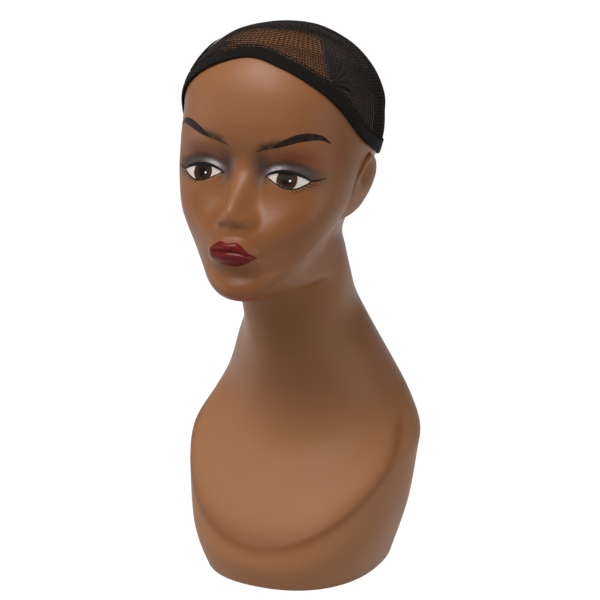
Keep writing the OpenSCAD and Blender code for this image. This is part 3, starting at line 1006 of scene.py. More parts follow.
class Airbrush(Enum):
    """Colours sprayed on the vinyl; the deep one also stands in for painted shade."""

    DEEP = (0.19, 0.066, 0.02)
    SMOKE = (0.036, 0.025, 0.022)
    SILVER = (0.44, 0.41, 0.42)
    RUST = (0.16, 0.04, 0.01)
    BROW = (0.07, 0.03, 0.013)


def shade(colour: Colour, share: float) -> Colour:
    """Colour at a share of its strength."""
    return tuple(share * c for c in colour)


@dataclass(frozen=True)
class VinylFinish:
    """Satin brown vinyl with airbrushed make-up, and painted shade on the neck, head, face and chest border.
    """

    shape: FigureShape
    base: Colour = (0.315, 0.139, 0.0585)
    roughness: float = 0.44
    specular: float = 0.26
    # Heights between which the plain chest turns to the deeper neck and head, a deeper tone that is partly
    # the vinyl's own and partly painted shade on surfaces that face less to the light.
    neck_z: tuple[float, float] = (105.0, 165.0)
    # Distances forward between which the paint of the face begins.
    face_f: tuple[float, float] = (45.0, 75.0)
    # The chest's border lies in a plane: height over the middle of the foot, fall for each length forward,
    # and half width of the painted shade line along it.
    border_z: float = 121.5
    border_fall: float = 0.94
    border_half: float = 4.2
    # Patches on both sides of the face: paint, share, distance from the middle, height, half width and half
    # height. The deep patches on cheeks, temples, chin, lower forehead, between the brows and round the nose
    # and mouth are partly airbrushed contour and partly painted shade.
    patches: tuple = (
        (Airbrush.DEEP, 0.85, 41, -23, 18, 19), (Airbrush.DEEP, 0.6, 15, -43, 16, 11),
        (Airbrush.DEEP, 0.6, 17, -33, 7, 8), (Airbrush.DEEP, 0.85, 0, -84, 28, 13),
        (Airbrush.DEEP, 0.85, 61, 26, 17, 28), (Airbrush.DEEP, 0.45, 24, 33, 42, 12),
        (Airbrush.DEEP, 0.55, 0, 14, 13, 9), (Airbrush.DEEP, 0.6, 11, -37, 9, 6),
        (Airbrush.DEEP, 0.45, 0, -44, 14, 5), (Airbrush.DEEP, 0.5, 16, -4, 6, 14),
        (Airbrush.RUST, 0.9, 42, 17, 15, 6.5), (Airbrush.SMOKE, 0.95, 14.5, 6.5, 6, 9.5),
        (Airbrush.SMOKE, 0.6, 53, 4, 8, 6.5))
    # Haze under the brow's inner end: height on the middle line, rise for each length aside, and half width.
    brow_h: float = 19.4
    brow_rise: float = 0.27
    brow_half: float = 2.5

    def border(self, g: Graph) -> Value:
        """Painted shade: a darker line along the rounded border of the chest, up to the shoulders.

        Args:
            g: Graph of the material.

        Returns:
            Share of the painted shade's colour.
        """
        _, forward, up = g.place()
        line = g.bell(up + forward * self.border_fall - self.border_z, self.border_half)
        return line * g.step(-14.0, 4.0, forward) * (1.0 - g.step(118.0, 158.0, up)) * 0.75

    def brows(self, g: Graph, left: Value, height: Value) -> Value:
        """Haze under the brushed strokes at the inner ends of the brows.

        Args:
            g: Graph of the material.
            left: Distance to the left of the middle.
            height: Height over the eye line.

        Returns:
            Share of the haze's colour.
        """
        aside = abs(left)
        lifted = g.step(1.0, -1.0, left) * self.shape.face.right_brow_lift
        run = g.step(10.0, 17.0, aside) * (1.0 - g.step(28.0, 37.0, aside))
        return g.bell(height - aside * self.brow_rise - lifted - self.brow_h, self.brow_half) * run * 0.8

    def lids(self, g: Graph, colour: Value, aside: Value, height: Value,
             on_front: Value) -> tuple[Value, Value]:
        """Smoky lids with a bright inner part.

        Args:
            g: Graph of the material.
            colour: Colour under the paint.
            aside: Distance from the middle.
            height: Height over the eye line.
            on_front: 1 on the front of the figure and 0 behind it.

        Returns:
            The painted colour, and what the powder adds to the roughness.
        """
        face = self.shape.face
        share = (aside - face.eye_in) * (1.0 / (face.eye_out - face.eye_in))
        inside = g.math("MINIMUM", g.math("MAXIMUM", share, 0.0), 1.0)
        arch = 4.0 * inside * (1.0 - inside)
        corners = inside * (face.eye_out_h - face.eye_in_h) + face.eye_in_h
        above = height - (arch * face.upper_lid + corners)
        over_lid = g.step(-1.0, 0.5, above) * (1.0 - g.step(5.5, 11.5, above))
        across = g.step(-0.2, 0.12, share) * (1.0 - g.step(0.95, 1.3, share)) * on_front
        lid = over_lid * across
        speckle = g.step(0.35, 0.75, g.noise(900.0, 1.0))
        colour = g.blend(lid * 0.92, colour, Airbrush.SMOKE.value)
        bright = lid * g.bell(share - 0.2, 0.17) * g.bell(above - 3.0, 2.0) * on_front
        colour = g.blend(bright * (0.55 + speckle * 0.45), colour, Airbrush.SILVER.value)
        dusk = lid * g.step(0.35, 0.7, share) * speckle
        colour = g.blend(dusk * 0.1, colour, shade(Airbrush.SILVER.value, 0.5))
        return colour, lid * 0.35 - bright * 0.4

    def material(self) -> bpy.types.Material:
        """Builds the material.

        Returns:
            The new material.
        """
        g = Graph("vinyl_skin")
        left, height = g.face_place(self.shape)
        _, forward, up = g.place()
        aside = abs(left)
        on_front = g.step(*self.face_f, forward)
        over_chest = g.step(*self.neck_z, up)
        colour = g.blend(g.noise(14.0, 3.0) * 0.35, self.base, shade(self.base, 0.86))
        # Neck and head deeper: partly the vinyl's own tone, partly painted shade.
        colour = g.blend(over_chest * 0.5, colour, Airbrush.DEEP.value)
        # Airbrushed make-up patches; the deep ones are partly painted shade.
        for paint, share, at_u, at_h, half_u, half_h in self.patches:
            cover = g.bell(aside - at_u, half_u) * g.bell(height - at_h, half_h) * on_front * share
            colour = g.blend(cover, colour, paint.value)
        colour = g.blend(self.brows(g, left, height) * on_front, colour, Airbrush.BROW.value)
        colour, powder = self.lids(g, colour, aside, height, on_front)
        # Painted shade along the chest's border.
        g.set("Base Color", g.blend(self.border(g), colour, Airbrush.DEEP.value))
        shine = (g.noise(60.0, 2.0) - 0.5) * 0.12
        g.set("Roughness", self.roughness + shine + powder + (1.0 - over_chest) * 0.1)
        g.set("Specular IOR Level", self.specular)
        g.bump(g.noise(700.0, 2.0), 0.12, 0.0002)
        return g.block


@dataclass(frozen=True)
class EyeFinish:
    """Painted eye: off-white, brown iris, dark pupil, a white dot of light, and painted shade of the upper
    lid over the top of the white and the iris.
    """

    shape: FigureShape
    white: Colour = (0.52, 0.47, 0.43)
    iris: Colour = (0.05, 0.022, 0.011)
    iris_edge: Colour = (0.022, 0.013, 0.01)
    pupil: Colour = (0.008, 0.005, 0.005)
    light: Colour = (0.9, 0.88, 0.85)
    iris_at: tuple[float, float] = (34.6, 0.5)
    iris_r: float = 8.0
    pupil_r: float = 3.2
    light_at: tuple[float, float] = (2.8, -0.4)

    def material(self, side: Side) -> bpy.types.Material:
        """Builds the material of one eye.

        Args:
            side: Which side of the figure.

        Returns:
            The new material.
        """
        g = Graph(f"painted_eye_{side.name.lower()}")
        left, height = g.face_place(self.shape)
        du, dh = left - side.value * self.iris_at[0], height - self.iris_at[1]
        r = (du * du + dh * dh) ** 0.5
        rays = g.noise(420.0, 2.0)
        iris = g.blend(g.step(self.pupil_r, self.iris_r, r) * (0.4 + rays), self.iris_edge, self.iris)
        iris = g.blend(g.step(self.iris_r - 1.4, self.iris_r - 0.2, r), iris, self.iris_edge)
        iris = g.blend(g.step(self.pupil_r + 0.7, self.pupil_r - 0.7, r), iris, self.pupil)
        # Painted shade of the upper lid over the top of the iris.
        iris = g.blend(g.step(0.5, 6.0, dh) * 0.5, iris, self.pupil)
        # Painted shade of the upper lid over the top of the white.
        white = g.blend(g.step(2.0, 8.0, dh) * 0.5, self.white, shade(self.white, 0.45))
        colour = g.blend(g.step(self.iris_r + 0.3, self.iris_r - 0.3, r), white, iris)
        lu, lh = du - self.light_at[0], dh - self.light_at[1]
        dot = g.step(0.95, 0.5, (lu * lu + lh * lh) ** 0.5)
        g.set("Base Color", g.blend(dot, colour, self.light))
        g.set("Roughness", 0.3 + rays * 0.1)
        g.set("Specular IOR Level", 0.05)
        return g.block


@dataclass(frozen=True)
class PaintFinish:
    """Brushed paint of one colour with streaks."""

    name: str
    colour: Colour
    streak: Colour
    roughness: float
    coat: float = 0.0
    scale: float = 300.0

    def material(self) -> bpy.types.Material:
        """Builds the material.

        Returns:
            The new material.
        """
        g = Graph(self.name)
        streaks = g.noise(self.scale, 3.0)
        g.set("Base Color", g.blend(g.step(0.35, 0.7, streaks), self.colour, self.streak))
        g.set("Roughness", self.roughness + (streaks - 0.5) * 0.15)
        g.set("Specular IOR Level", 0.08)
        g.set("Coat Weight", self.coat)
        g.set("Coat Roughness", 0.16)
        g.bump(streaks, 0.15, 0.0001)
        return g.block


@dataclass(frozen=True)
class TextileFinish:
    """Dark textile: thread colour with lighter glints in a fine grain."""

    name: str
    thread: Colour
    glint: Colour
    grain: float
    roughness: float = 0.75

    def material(self) -> bpy.types.Material:
        """Builds the material.

        Returns:
            The new material.
        """
        g = Graph(self.name)
        yarn = g.noise(self.grain, 2.0, 0.6)
        g.set("Base Color", g.blend(g.step(0.3, 0.75, yarn), self.thread, self.glint))
        g.set("Roughness", self.roughness + (yarn - 0.5) * 0.2)
        g.set("Specular IOR Level", 0.12)
        g.set("Sheen Weight", 0.02)
        g.bump(yarn, 0.4, 0.00015)
        return g.block


@dataclass(frozen=True)
class BoardFinish:
    """Bare fibreboard."""

    colour: Colour = (0.36, 0.24, 0.14)

    def material(self) -> bpy.types.Material:
        """Builds the material.

        Returns:
            The new material.
        """
        g = Graph("fibreboard")
        fibres = g.noise(500.0, 4.0, 0.6)
        g.set("Base Color", g.blend(fibres, shade(self.colour, 0.75), self.colour))
        g.set("Roughness", 0.8 + (fibres - 0.5) * 0.1)
        g.bump(fibres, 0.3, 0.0002)
        return g.block


@dataclass(frozen=True)
class SteelFinish:
    """Zinc plated steel."""

    colour: Colour = (0.62, 0.62, 0.64)

    def material(self) -> bpy.types.Material:
        """Builds the material.

        Returns:
            The new material.
        """
        g = Graph("zinc_plate")
        haze = g.noise(800.0, 2.0)
        g.set("Base Color", g.blend(haze, self.colour, shade(self.colour, 0.8)))
        g.set("Metallic", 1.0)
        g.set("Roughness", 0.3 + haze * 0.15)
        return g.block


LASH_BLACK = PaintFinish("lash_black", (0.006, 0.005, 0.005), (0.014, 0.011, 0.01), 0.4)
BROW_BROWN = PaintFinish("brow_brown", (0.012, 0.008, 0.007), (0.024, 0.015, 0.011), 0.45)
LIP_RED = PaintFinish("lip_red", (0.115, 0.007, 0.006), (0.16, 0.011, 0.009), 0.4, 0.16)
NET_THREAD = TextileFinish("net_thread", (0.012, 0.0095, 0.0085), (0.034, 0.027, 0.024), 900.0)
SLACK_NET = TextileFinish("slack_net", (0.07, 0.052, 0.044), (0.11, 0.083, 0.072), 1200.0, 0.8)
BAND_ELASTIC = TextileFinish("band_elastic", (0.0045, 0.0036, 0.0032), (0.009, 0.0072, 0.0064), 1500.0, 0.9)
SEWING_THREAD = TextileFinish("sewing_thread", (0.008, 0.0065, 0.006), (0.02, 0.016, 0.014), 2000.0)
GATHERED_NET = TextileFinish("gathered_net", (0.012, 0.0095, 0.0085), (0.024, 0.019, 0.017), 1200.0, 0.95)
BLACK_FELT = TextileFinish("black_felt", (0.012, 0.012, 0.013), (0.03, 0.03, 0.032), 700.0, 0.95)


def dress_piece(obj: bpy.types.Object, material: bpy.types.Material, slot: str, body: str,
                *replaced: str) -> None:
    """Gives a piece its finish and its body, and hides the CAD nodes that it stands for.

    Args:
        obj: The piece.
        material: Its finish.
        slot: Name of its material slot in the record; not used.
        body: Name of the body that it rides on.
        *replaced: Names of the CAD nodes that it stands for.
    """
    obj.data.materials.clear()
    obj.data.materials.append(material)
    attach(obj, body)
    if replaced:
        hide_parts(*replaced)
    log.info("%s: %d faces on %s", obj.name, len(obj.data.polygons), body)


@dataclass
class Figure:
    """Head, neck and bust: the hollow vinyl shell with its moulded face and ears."""

    shape: FigureShape
    columns: int = 264
    bust_rings: int = 60
    face_rings: int = 186
    crown_rings: int = 30
    throat_t: float = 8.0
    hairline_t: float = 21.5
    # How much thicker the wall is behind the face.
    face_wall: float = 6.0
    # Points of the ear across and along.
    ear_grid: tuple[int, int] = (43, 57)

    def angles(self) -> Array:
        """Angles of the columns, closer together on the face.

        Returns:
            Angles in radians, from the front round by the left.
        """
        a = np.linspace(0.0, np.pi, 721)
        density = 0.4 + smooth((np.radians(80) - a) / 0.7)
        share = np.concatenate([[0.0], np.cumsum((density[1:] + density[:-1]) / 2)])
        half = np.interp(np.linspace(0, share[-1], self.columns // 2 + 1), share, a)
        return np.concatenate([half, 2 * np.pi - half[-2:0:-1]])

    def foot_ring(self, inset: float, z: float) -> Array:
        """Ring of the foot's plan, drawn in by a distance, at a height.

        Args:
            inset: Distance in from the outline.
            z: Height.

        Returns:
            Left, forward and up on a new last axis.
        """
        a = self.angles()
        d = self.shape.step_a
        p = self.shape.plain(0.0, a)
        q = unit((self.shape.plain(0.0, a + d) - self.shape.plain(0.0, a - d))[..., :2])
        left, forward = p[..., 0] + inset * q[..., 1], p[..., 1] - inset * q[..., 0]
        return np.stack([left, forward, np.full(len(a), z)], -1)

    def build(self) -> bpy.types.Object:
        """Models the shell from its inner crown, round the rim and up the outer skin.

        Returns:
            The new piece.
        """
        s, a = self.shape, self.angles()[None, :]
        inner_t = np.concatenate([np.arange(3.0, s.crown_t)[::-1], [2.5, 2.0, 1.5, 1.0]])[:, None]
        over_face = smooth((inner_t - 11) / 3) * smooth((20 - inner_t) / 2)
        plain = s.plain(inner_t, a)
        height = s.to_head(plain[..., 1], plain[..., 2])[1]
        depth = self.face_wall * smooth((np.cos(a) - 0.1) / 0.4) * over_face
        depth = depth + s.facing(a) * s.face.hollow(plain[..., 0], height)
        inner = s.off_skin(inner_t, a, -(s.wall + depth))
        floor_in, floor_top = s.wall + s.floor_w, s.floor_z + s.wall
        lip = [self.foot_ring(inset, z) for inset, z in (
            (s.wall, floor_top), (floor_in, floor_top), (floor_in, s.floor_z), (s.wall, s.floor_z),
            (s.wall, s.rim_z + 0.4), (s.wall - 0.5, s.rim_z), (0.8, s.rim_z))]
        ends = (0.02, self.throat_t, self.hairline_t, s.crown_t)
        counts = (self.bust_rings, self.face_rings, self.crown_rings)
        outer_t = np.concatenate([np.linspace(low, high, count, endpoint=False)
                                  for low, high, count in zip(ends, ends[1:], counts)])
        outer = s.dressed(outer_t[:, None], a)
        crown = s.plain(s.crown_t, 0.0)
        shell = stack_object("vinyl_figure", np.concatenate([inner, np.array(lip), outer]),
                             crown - np.array([0, 0, s.wall]), crown)
        return join("vinyl_figure", [shell, *(self.ear(side) for side in Side)])

    def ear(self, side: Side) -> bpy.types.Object:
        """Moulded ear, rooted in the side of the head.

        Args:
            side: Which side of the figure.

        Returns:
            The new piece.
        """
        s = self.shape
        across, share = (np.sin(np.linspace(-np.pi / 2, np.pi / 2, count)) for count in self.ear_grid)
        across, share = np.broadcast_arrays(across[None, :], 0.998 * share[:, None])
        f, z = s.to_world(*s.ear.place(across, share))
        x = s.side_x(f, z)
        over = np.stack([side.value * (x + s.ear.rise(across, share)), f, z], -1)
        under = np.stack([side.value * (x + s.ear.root - 1.0), f, z], -1)
        return film_object(f"ear_{side.name.lower()}", over, under)

    def dress(self) -> None:
        """Builds the shell and gives it its vinyl."""
        dress_piece(self.build(), VinylFinish(self.shape).material(), "vinyl_skin", "bust", "vinyl_shell")


@dataclass
class FacePaint:
    """Painted eyes, lash lines, brows and lips: thin films on the moulded face."""

    shape: FigureShape
    over: float = 0.2
    under: float = -0.3
    edge_over: float = 0.03
    lower_lashes: int = 6
    # Line of the left brow's body as distance from the middle and height, and its width at each place.
    brow_line: tuple = ((25.5, 23.2), (31.0, 26.2), (36.5, 28.9), (43.0, 31.6), (48.5, 33.0), (53.0, 33.4),
                        (57.5, 32.6), (61.8, 29.0))
    brow_width: tuple = (0.3, 3.4, 5.2, 5.9, 5.8, 4.8, 3.0, 0.3)
    brow_hairs: int = 22

    def film(self, name: str, u: Array, h: Array) -> bpy.types.Object:
        """Film over a grid of places on the face, thinner along its border.

        Args:
            name: Name of the piece.
            u: Distances to the left of the middle.
            h: Heights over the eye line.

        Returns:
            The new piece.
        """
        out = np.full(u.shape, self.over)
        for border in (np.s_[0, :], np.s_[-1, :], np.s_[:, 0], np.s_[:, -1]):
            out[border] = self.edge_over
        return film_object(name, self.shape.on_face(u, h, out), self.shape.on_face(u, h, self.under))

    def stroke(self, name: str, line: Array, width: Array, steps: int,
               across: int = 4) -> bpy.types.Object:
        """Film along a line of (left, height) places with a width at each.

        Args:
            name: Name of the piece.
            line: Places that the stroke runs through.
            width: Width at each of those places.
            steps: Number of sections along the stroke.
            across: Number of faces across the stroke.

        Returns:
            The film.
        """
        t = np.linspace(0, len(line) - 1, steps + 1)
        places = cubic(np.column_stack([line, width]), t)
        run = unit(np.gradient(places[:, :2], axis=0))
        share = np.linspace(-0.5, 0.5, across + 1)[None, :]
        half = np.maximum(places[:, 2:3], 0.02)
        u = places[:, 0:1] - run[:, 1:2] * half * share
        h = places[:, 1:2] + run[:, 0:1] * half * share
        return self.film(name, u, h)

    def eye(self, side: Side) -> bpy.types.Object:
        """Painted eye between the lids.

        Args:
            side: Which side of the figure.

        Returns:
            The new piece.
        """
        face = self.shape.face
        s = np.linspace(0.0, 1.0, 49)[None, :]
        v = np.linspace(0.0, 1.0, 21)[:, None]
        u = side.value * (face.eye_in + (face.eye_out - face.eye_in) * s) + 0 * v
        h = face.lower_lid_h(u) + (face.upper_lid_h(u) - face.lower_lid_h(u)) * v
        return self.film(f"painted_eye_{side.name.lower()}", u, h)

    def lashes(self, side: Side) -> bpy.types.Object:
        """Dark line along the lids, its wing and the lower lashes.

        Args:
            side: Which side of the figure.

        Returns:
            The new piece.
        """
        face = self.shape.face
        name = f"lash_line_{side.name.lower()}"
        s = np.linspace(0.0, 1.0, 15)
        u = face.eye_in + (face.eye_out - face.eye_in) * s
        upper = np.column_stack([u, face.upper_lid_h(u) + 0.5])
        wing = np.array([[face.eye_out + 3.0, 1.5], [face.eye_out + 6.5, 2.6], [face.eye_out + 9.5, 4.0]])
        line = np.vstack([[[face.eye_in - 1.6, face.eye_in_h - 1.2]], upper, wing])
        width = np.concatenate([[0.6], 1.2 + 2.2 * np.sin(np.pi * s) ** 0.7, [1.3, 0.8, 0.2]])
        flip = np.array([side.value, 1.0])
        pieces = [self.stroke(name, line * flip, width, 90)]
        lower = np.column_stack([u, face.lower_lid_h(u) - 0.2])
        pieces.append(self.stroke(name + "_lower", lower * flip, 0.55 + 0.6 * s**0.8, 60))
        for k in range(self.lower_lashes):
            start = 0.62 + 0.065 * k
            root_u = face.eye_in + (face.eye_out - face.eye_in) * start
            root = np.array([root_u, float(face.lower_lid_h(np.array(root_u))) - 0.3])
            reach = np.array([3.0 + 0.9 * k, -3.2 + 0.5 * k])
            lash = np.array([root, root + reach * 0.5 + np.array([0.0, -0.3]), root + reach])
            pieces.append(self.stroke(f"{name}_{k}", lash * flip, np.array([0.55, 0.4, 0.1]), 10, 2))
        return join(name, pieces)

    def brow(self, side: Side) -> bpy.types.Object:
        """Brow: a dark arched body with brushed strokes at its inner end.

        Args:
            side: Which side of the figure.

        Returns:
            The new piece.
        """
        name = f"brow_{side.name.lower()}"
        lift = self.shape.face.right_brow_lift if side is Side.RIGHT else 0.0
        line = np.array(self.brow_line) + np.array([0.0, lift])
        flip = np.array([side.value, 1.0])
        pieces = [self.stroke(name, line * flip, np.array(self.brow_width), 60, 6)]
        for k in range(self.brow_hairs):
            share = k / (self.brow_hairs - 1.0)
            root = np.array([10.5 + 20.0 * share, 19.0 + 5.4 * share + lift])
            reach = np.array([3.6 + 1.2 * (k % 2), 3.2 + 3.2 * min(1.0, share / 0.3) - 0.6 * (k % 3)])
            hair = np.array([root, root + reach * 0.5 + np.array([0.4, -0.2]), root + reach])
            width = np.array([0.14, 0.26 + 0.2 * share, 0.1])
            pieces.append(self.stroke(f"{name}_{k}", hair * flip, width, 10, 2))
        return join(name, pieces)

    def lips(self) -> bpy.types.Object:
        """Painted lips.

        Returns:
            The new piece.
        """
        face = self.shape.face
        s = np.linspace(-1.0, 1.0, 81)[None, :]
        v = np.linspace(0.0, 1.0, 41)[:, None]
        u = face.mouth_half * s + 0 * v
        upper, lower = face.upper_lip_h(u), face.lower_lip_h(u)
        return self.film("painted_lips", u, lower + (upper - lower) * v)

    def dress(self) -> None:
        """Builds the films and gives them their paint."""
        black, brown, red = (finish.material() for finish in (LASH_BLACK, BROW_BROWN, LIP_RED))
        for side in Side:
            dress_piece(self.eye(side), EyeFinish(self.shape).material(side), "vinyl_skin", "bust")
            dress_piece(self.lashes(side), black, "vinyl_skin", "bust")
            dress_piece(self.brow(side), brown, "vinyl_skin", "bust")
        dress_piece(self.lips(), red, "vinyl_skin", "bust")


@dataclass
class Cap:
    """Wig cap: net, elastic band, overlock stitching and the gathers at the temples."""

    shape: FigureShape
    gap: float = 1.1
    net_t: float = 0.7
    band_w: float = 9.0
    band_t: float = 1.8
    stitch_d: float = 1.1
    sewn_gap: float = 0.3
    mesh: float = 2.5
    thread: float = 0.78
    # Row place of the lower rim at every rim_step degrees from the front to the nape.
    rim: tuple = (20.9, 20.65, 20.2, 19.5, 18.4, 17.35, 16.45, 15.7, 15.1, 14.9)
    rim_step: float = 20.0
    pleats: int = 6
    gather_at: float = 53.0
    gather_l: float = 19.0
    gather_turn: tuple[float, float] = (15.0, 96.0)
    gather_root: float = 3.0
    gather_rise: float = 1.3
    # Height over the rim at which the net ends behind the band, as a share of the band's width.
    tuck: float = 0.6
    # Distance from the crown and number of columns of the net from there on.
    cells: tuple = ((0.0, 24), (16.0, 48), (34.0, 96), (68.0, 192))
    # Points round the band's length and round its section, and number and height of its ribs.
    band_columns: int = 900
    band_sides: int = 20
    ribs: int = 300
    rib_rise: float = 0.05
    # How far the band's inner side sinks towards the skin.
    band_sink: float = 0.75
    stitches: int = 190
    overlock_r: float = 0.22
    runner_r: float = 0.25
    # Angles in degrees that the slack net spans, and how far its two faces lie below the cap's inner side.
    slack_turn: tuple[float, float] = (50.0, 310.0)
    slack_in: tuple[float, float] = (0.1, 0.4)
    # Cut of the slack net in metres: along the band and up to the crown.
    cut: tuple[float, float] = (0.41, 0.15)

    def rim_t(self, a: Array) -> Array:
        """Row place of the rim at angles a in radians.

        Args:
            a: Angles in radians, 0 at the front.

        Returns:
            A row place for each angle.
        """
        b = np.abs(np.degrees(a)) % 360.0
        b = np.where(b > 180.0, 360.0 - b, b) / self.rim_step
        rows = np.array((self.rim[1], *self.rim, self.rim[-2]))[:, None]
        return cubic(rows, np.minimum(b, len(self.rim) - 1 - 1e-9) + 1.0)[..., 0]

    def rise_t(self, a: Array, length: Union[float, Array]) -> Array:
        """Row places covered by a length square to the rim.

        Args:
            a: Angles in radians, 0 at the front.
            length: Length at each angle.

        Returns:
            Row places to add at each angle.
        """
        s, t, e, d = self.shape, self.rim_t(a), self.shape.step_t, self.shape.step_a
        up = (s.plain(t + e, a) - s.plain(t - e, a)) / (2 * e)
        run = unit(s.plain(self.rim_t(a + d), a + d) - s.plain(self.rim_t(a - d), a - d))
        square = up - (up * run).sum(-1, keepdims=True) * run
        return length / np.linalg.norm(square, axis=-1)

    def on_cap(self, a: Array, across: Union[float, Array], out: Union[float, Array]) -> Array:
        """Places at a distance up from the rim and out from the skin."""
        return self.shape.off_skin(self.rim_t(a) + self.rise_t(a, across), a, out)

    def tucked_t(self, a: Array) -> Array:
        """Row places behind the band to which the net reaches down."""
        return self.rim_t(a) + self.rise_t(a, self.band_w * self.tuck)

    def net(self) -> bpy.types.Object:
        """Net: threads round and up the cap, from under the band to the crown.

        Returns:
            The new piece.
        """
        s = self.shape
        centre = self.gap + self.net_t / 2
        columns = self.cells[-1][1]
        a = 2 * np.pi * np.arange(columns) / columns
        t_low = self.tucked_t(a)
        t_path = np.linspace(s.crown_t - 1e-3, 13.0, 400)[:, None]
        path = s.plain(t_path, a[None, :])
        steps = np.linalg.norm(np.diff(path, axis=0), axis=-1)
        arc = np.concatenate([np.zeros((1, columns)), np.cumsum(steps, 0)])
        low_arc = np.array([np.interp(-t_low[k], -t_path[:, 0], arc[:, k]) for k in range(columns)])
        reach = np.arange(1, int(low_arc.max() / self.mesh) + 2) * self.mesh
        ring_t = np.array([np.interp(reach, arc[:, k], t_path[:, 0]) for k in range(columns)]).T
        points = s.off_skin(ring_t, a[None, :], centre)
        top = len(reach) * columns

        def step_at(i: int) -> int:
            """Number of columns that one cell of ring i spans."""
            return columns // [n for r, n in self.cells if reach[i] >= r][-1]

        first_step = step_at(0)
        faces = [(top, k, (k + first_step) % columns) for k in range(0, columns, first_step)]
        for i in range(len(reach) - 1):
            wide, fine = step_at(i), step_at(i + 1)
            for k in range(0, columns, wide):
                if reach[i] > low_arc[[k, (k + wide) % columns]].min():
                    continue
                below = [(i + 1) * columns + (k + j) % columns for j in range(0, wide + 1, fine)]
                faces.append((i * columns + (k + wide) % columns, i * columns + k, *below))
        crown = s.plain(s.crown_t, 0.0) + np.array([0, 0, centre])
        obj = new_mesh("cap_mesh", metres(np.vstack([points.reshape(-1, 3), crown[None]])), faces)
        with editing(obj):
            bpy.ops.mesh.delete_loose()
        apply_modifier(obj, "WIREFRAME", thickness=self.thread * MM, use_even_offset=False, use_boundary=True)
        return obj

    def band(self) -> bpy.types.Object:
        """Elastic band: a soft rounded strip with fine ribs across it.

        Returns:
            The new piece.
        """
        a = 2 * np.pi * np.arange(self.band_columns) / self.band_columns
        turn = 2 * np.pi * np.arange(self.band_sides)[:, None] / self.band_sides
        wide = np.sign(np.cos(turn)) * np.abs(np.cos(turn)) ** 0.45
        thick = np.sign(np.sin(turn)) * np.abs(np.sin(turn)) ** 0.6
        ribs = self.rib_rise * np.sin(self.ribs * a)[None, :] * (thick > 0)
        swell = 0.12 * np.sin(7 * a + 0.6)[None, :] + 0.08 * np.sin(17 * a)[None, :]
        across = self.band_w / 2 * (1 - wide) + swell * (np.abs(wide) > 0.7)
        out = self.gap + self.band_t / 2 * (1 + thick) + ribs - self.band_sink * (1 - (1 + thick) / 2)
        return loop_object("cap_elastic", self.on_cap(np.broadcast_to(a, across.shape), across, out))

    def tube(self, name: str, path: Array, radius: float) -> bpy.types.Object:
        """Round thread along a closed path of (left, forward, up) places.

        Args:
            name: Name of the piece.
            path: Places along the thread.
            radius: Its radius.

        Returns:
            The new piece.
        """
        data = bpy.data.curves.new(name, "CURVE")
        data.dimensions = "3D"
        data.bevel_depth = radius * MM
        data.bevel_resolution = 1
        spline = data.splines.new("POLY")
        spline.points.add(len(path) - 1)
        spline.points.foreach_set("co", np.column_stack([metres(path), np.ones(len(path))]).ravel())
        spline.use_cyclic_u = True
        obj = bpy.data.objects.new(name, data)
        bpy.context.scene.collection.objects.link(obj)
        only(obj)
        bpy.ops.object.convert(target="MESH")
        obj = bpy.context.view_layer.objects.active
        obj.data.shade_smooth()
        return obj

    def stitching(self) -> bpy.types.Object:
        """Overlock stitching: a thread that zigzags between band and net, and a straight one beside it.

        Returns:
            The new piece.
        """
        phase = np.tile(np.array([0.0, 0.5, 1.0, 0.5]), self.stitches)
        a = 2 * np.pi * np.arange(len(phase)) / len(phase)
        mid = self.band_w + 2 * self.sewn_gap + self.stitch_d / 2
        top = self.gap + self.net_t + self.sewn_gap + self.stitch_d / 2
        zigzag = self.on_cap(a, mid - 1.6 + 2.6 * phase, top + 0.25 * np.sin(np.pi * phase))
        straight = self.on_cap(a, mid + 0.6, np.full(len(a), top - 0.25))
        return join("cap_overlock", [self.tube("cap_overlock", zigzag, self.overlock_r),
                                     self.tube("cap_runner", straight, self.runner_r)])

    def lining(self) -> bpy.types.Object:
        """Slack net behind the gathers, where its meshes close up.

        Returns:
            The new piece.
        """
        a = np.radians(np.linspace(*self.slack_turn, 131))[None, :]
        low = self.tucked_t(a)
        t = low + (self.shape.crown_t - 0.02 - low) * np.linspace(0.0, 1.0, 61)[:, None]
        a = np.broadcast_to(a, t.shape)
        over, under = (self.shape.off_skin(t, a, self.gap - sunk) for sunk in self.slack_in)
        return film_object("cap_slack_net", over, under)

    def gather(self, side: Side) -> bpy.types.Object:
        """Fan of netting drawn up in pleats above the band at one temple.

        Args:
            side: Which side of the figure.

        Returns:
            The new piece.
        """
        s = np.linspace(0.0, 1.0, 97)[None, :]
        v = np.linspace(0.0, 1.0, 25)[:, None]
        base = math.radians(self.gather_at)
        one = self.shape.plain(self.rim_t(np.array([base, base + 0.02])), np.array([base, base + 0.02]))
        per_mm = 0.02 / np.linalg.norm(one[1] - one[0])
        pleat = np.cos(2 * np.pi * self.pleats * s)
        turn = np.radians(self.gather_turn[0] + (self.gather_turn[1] - self.gather_turn[0]) * s)
        r = self.gather_root + self.gather_l * v * (1 + 0.05 * pleat)
        a = side.value * (base + r * np.cos(turn) * per_mm)
        across = self.band_w + 3 * self.sewn_gap + self.stitch_d + r * np.sin(turn)
        low = self.gap + self.net_t + self.sewn_gap
        folds = (0.35 + 0.65 * v) * (0.55 + 0.45 * pleat) * smooth((1.02 - v) / 0.3)
        out = low + 0.3 + self.gather_rise * folds
        return film_object(f"cap_gather_{side.name.lower()}", self.on_cap(a, across, out),
                           self.on_cap(a, across, np.full(a.shape, low)))

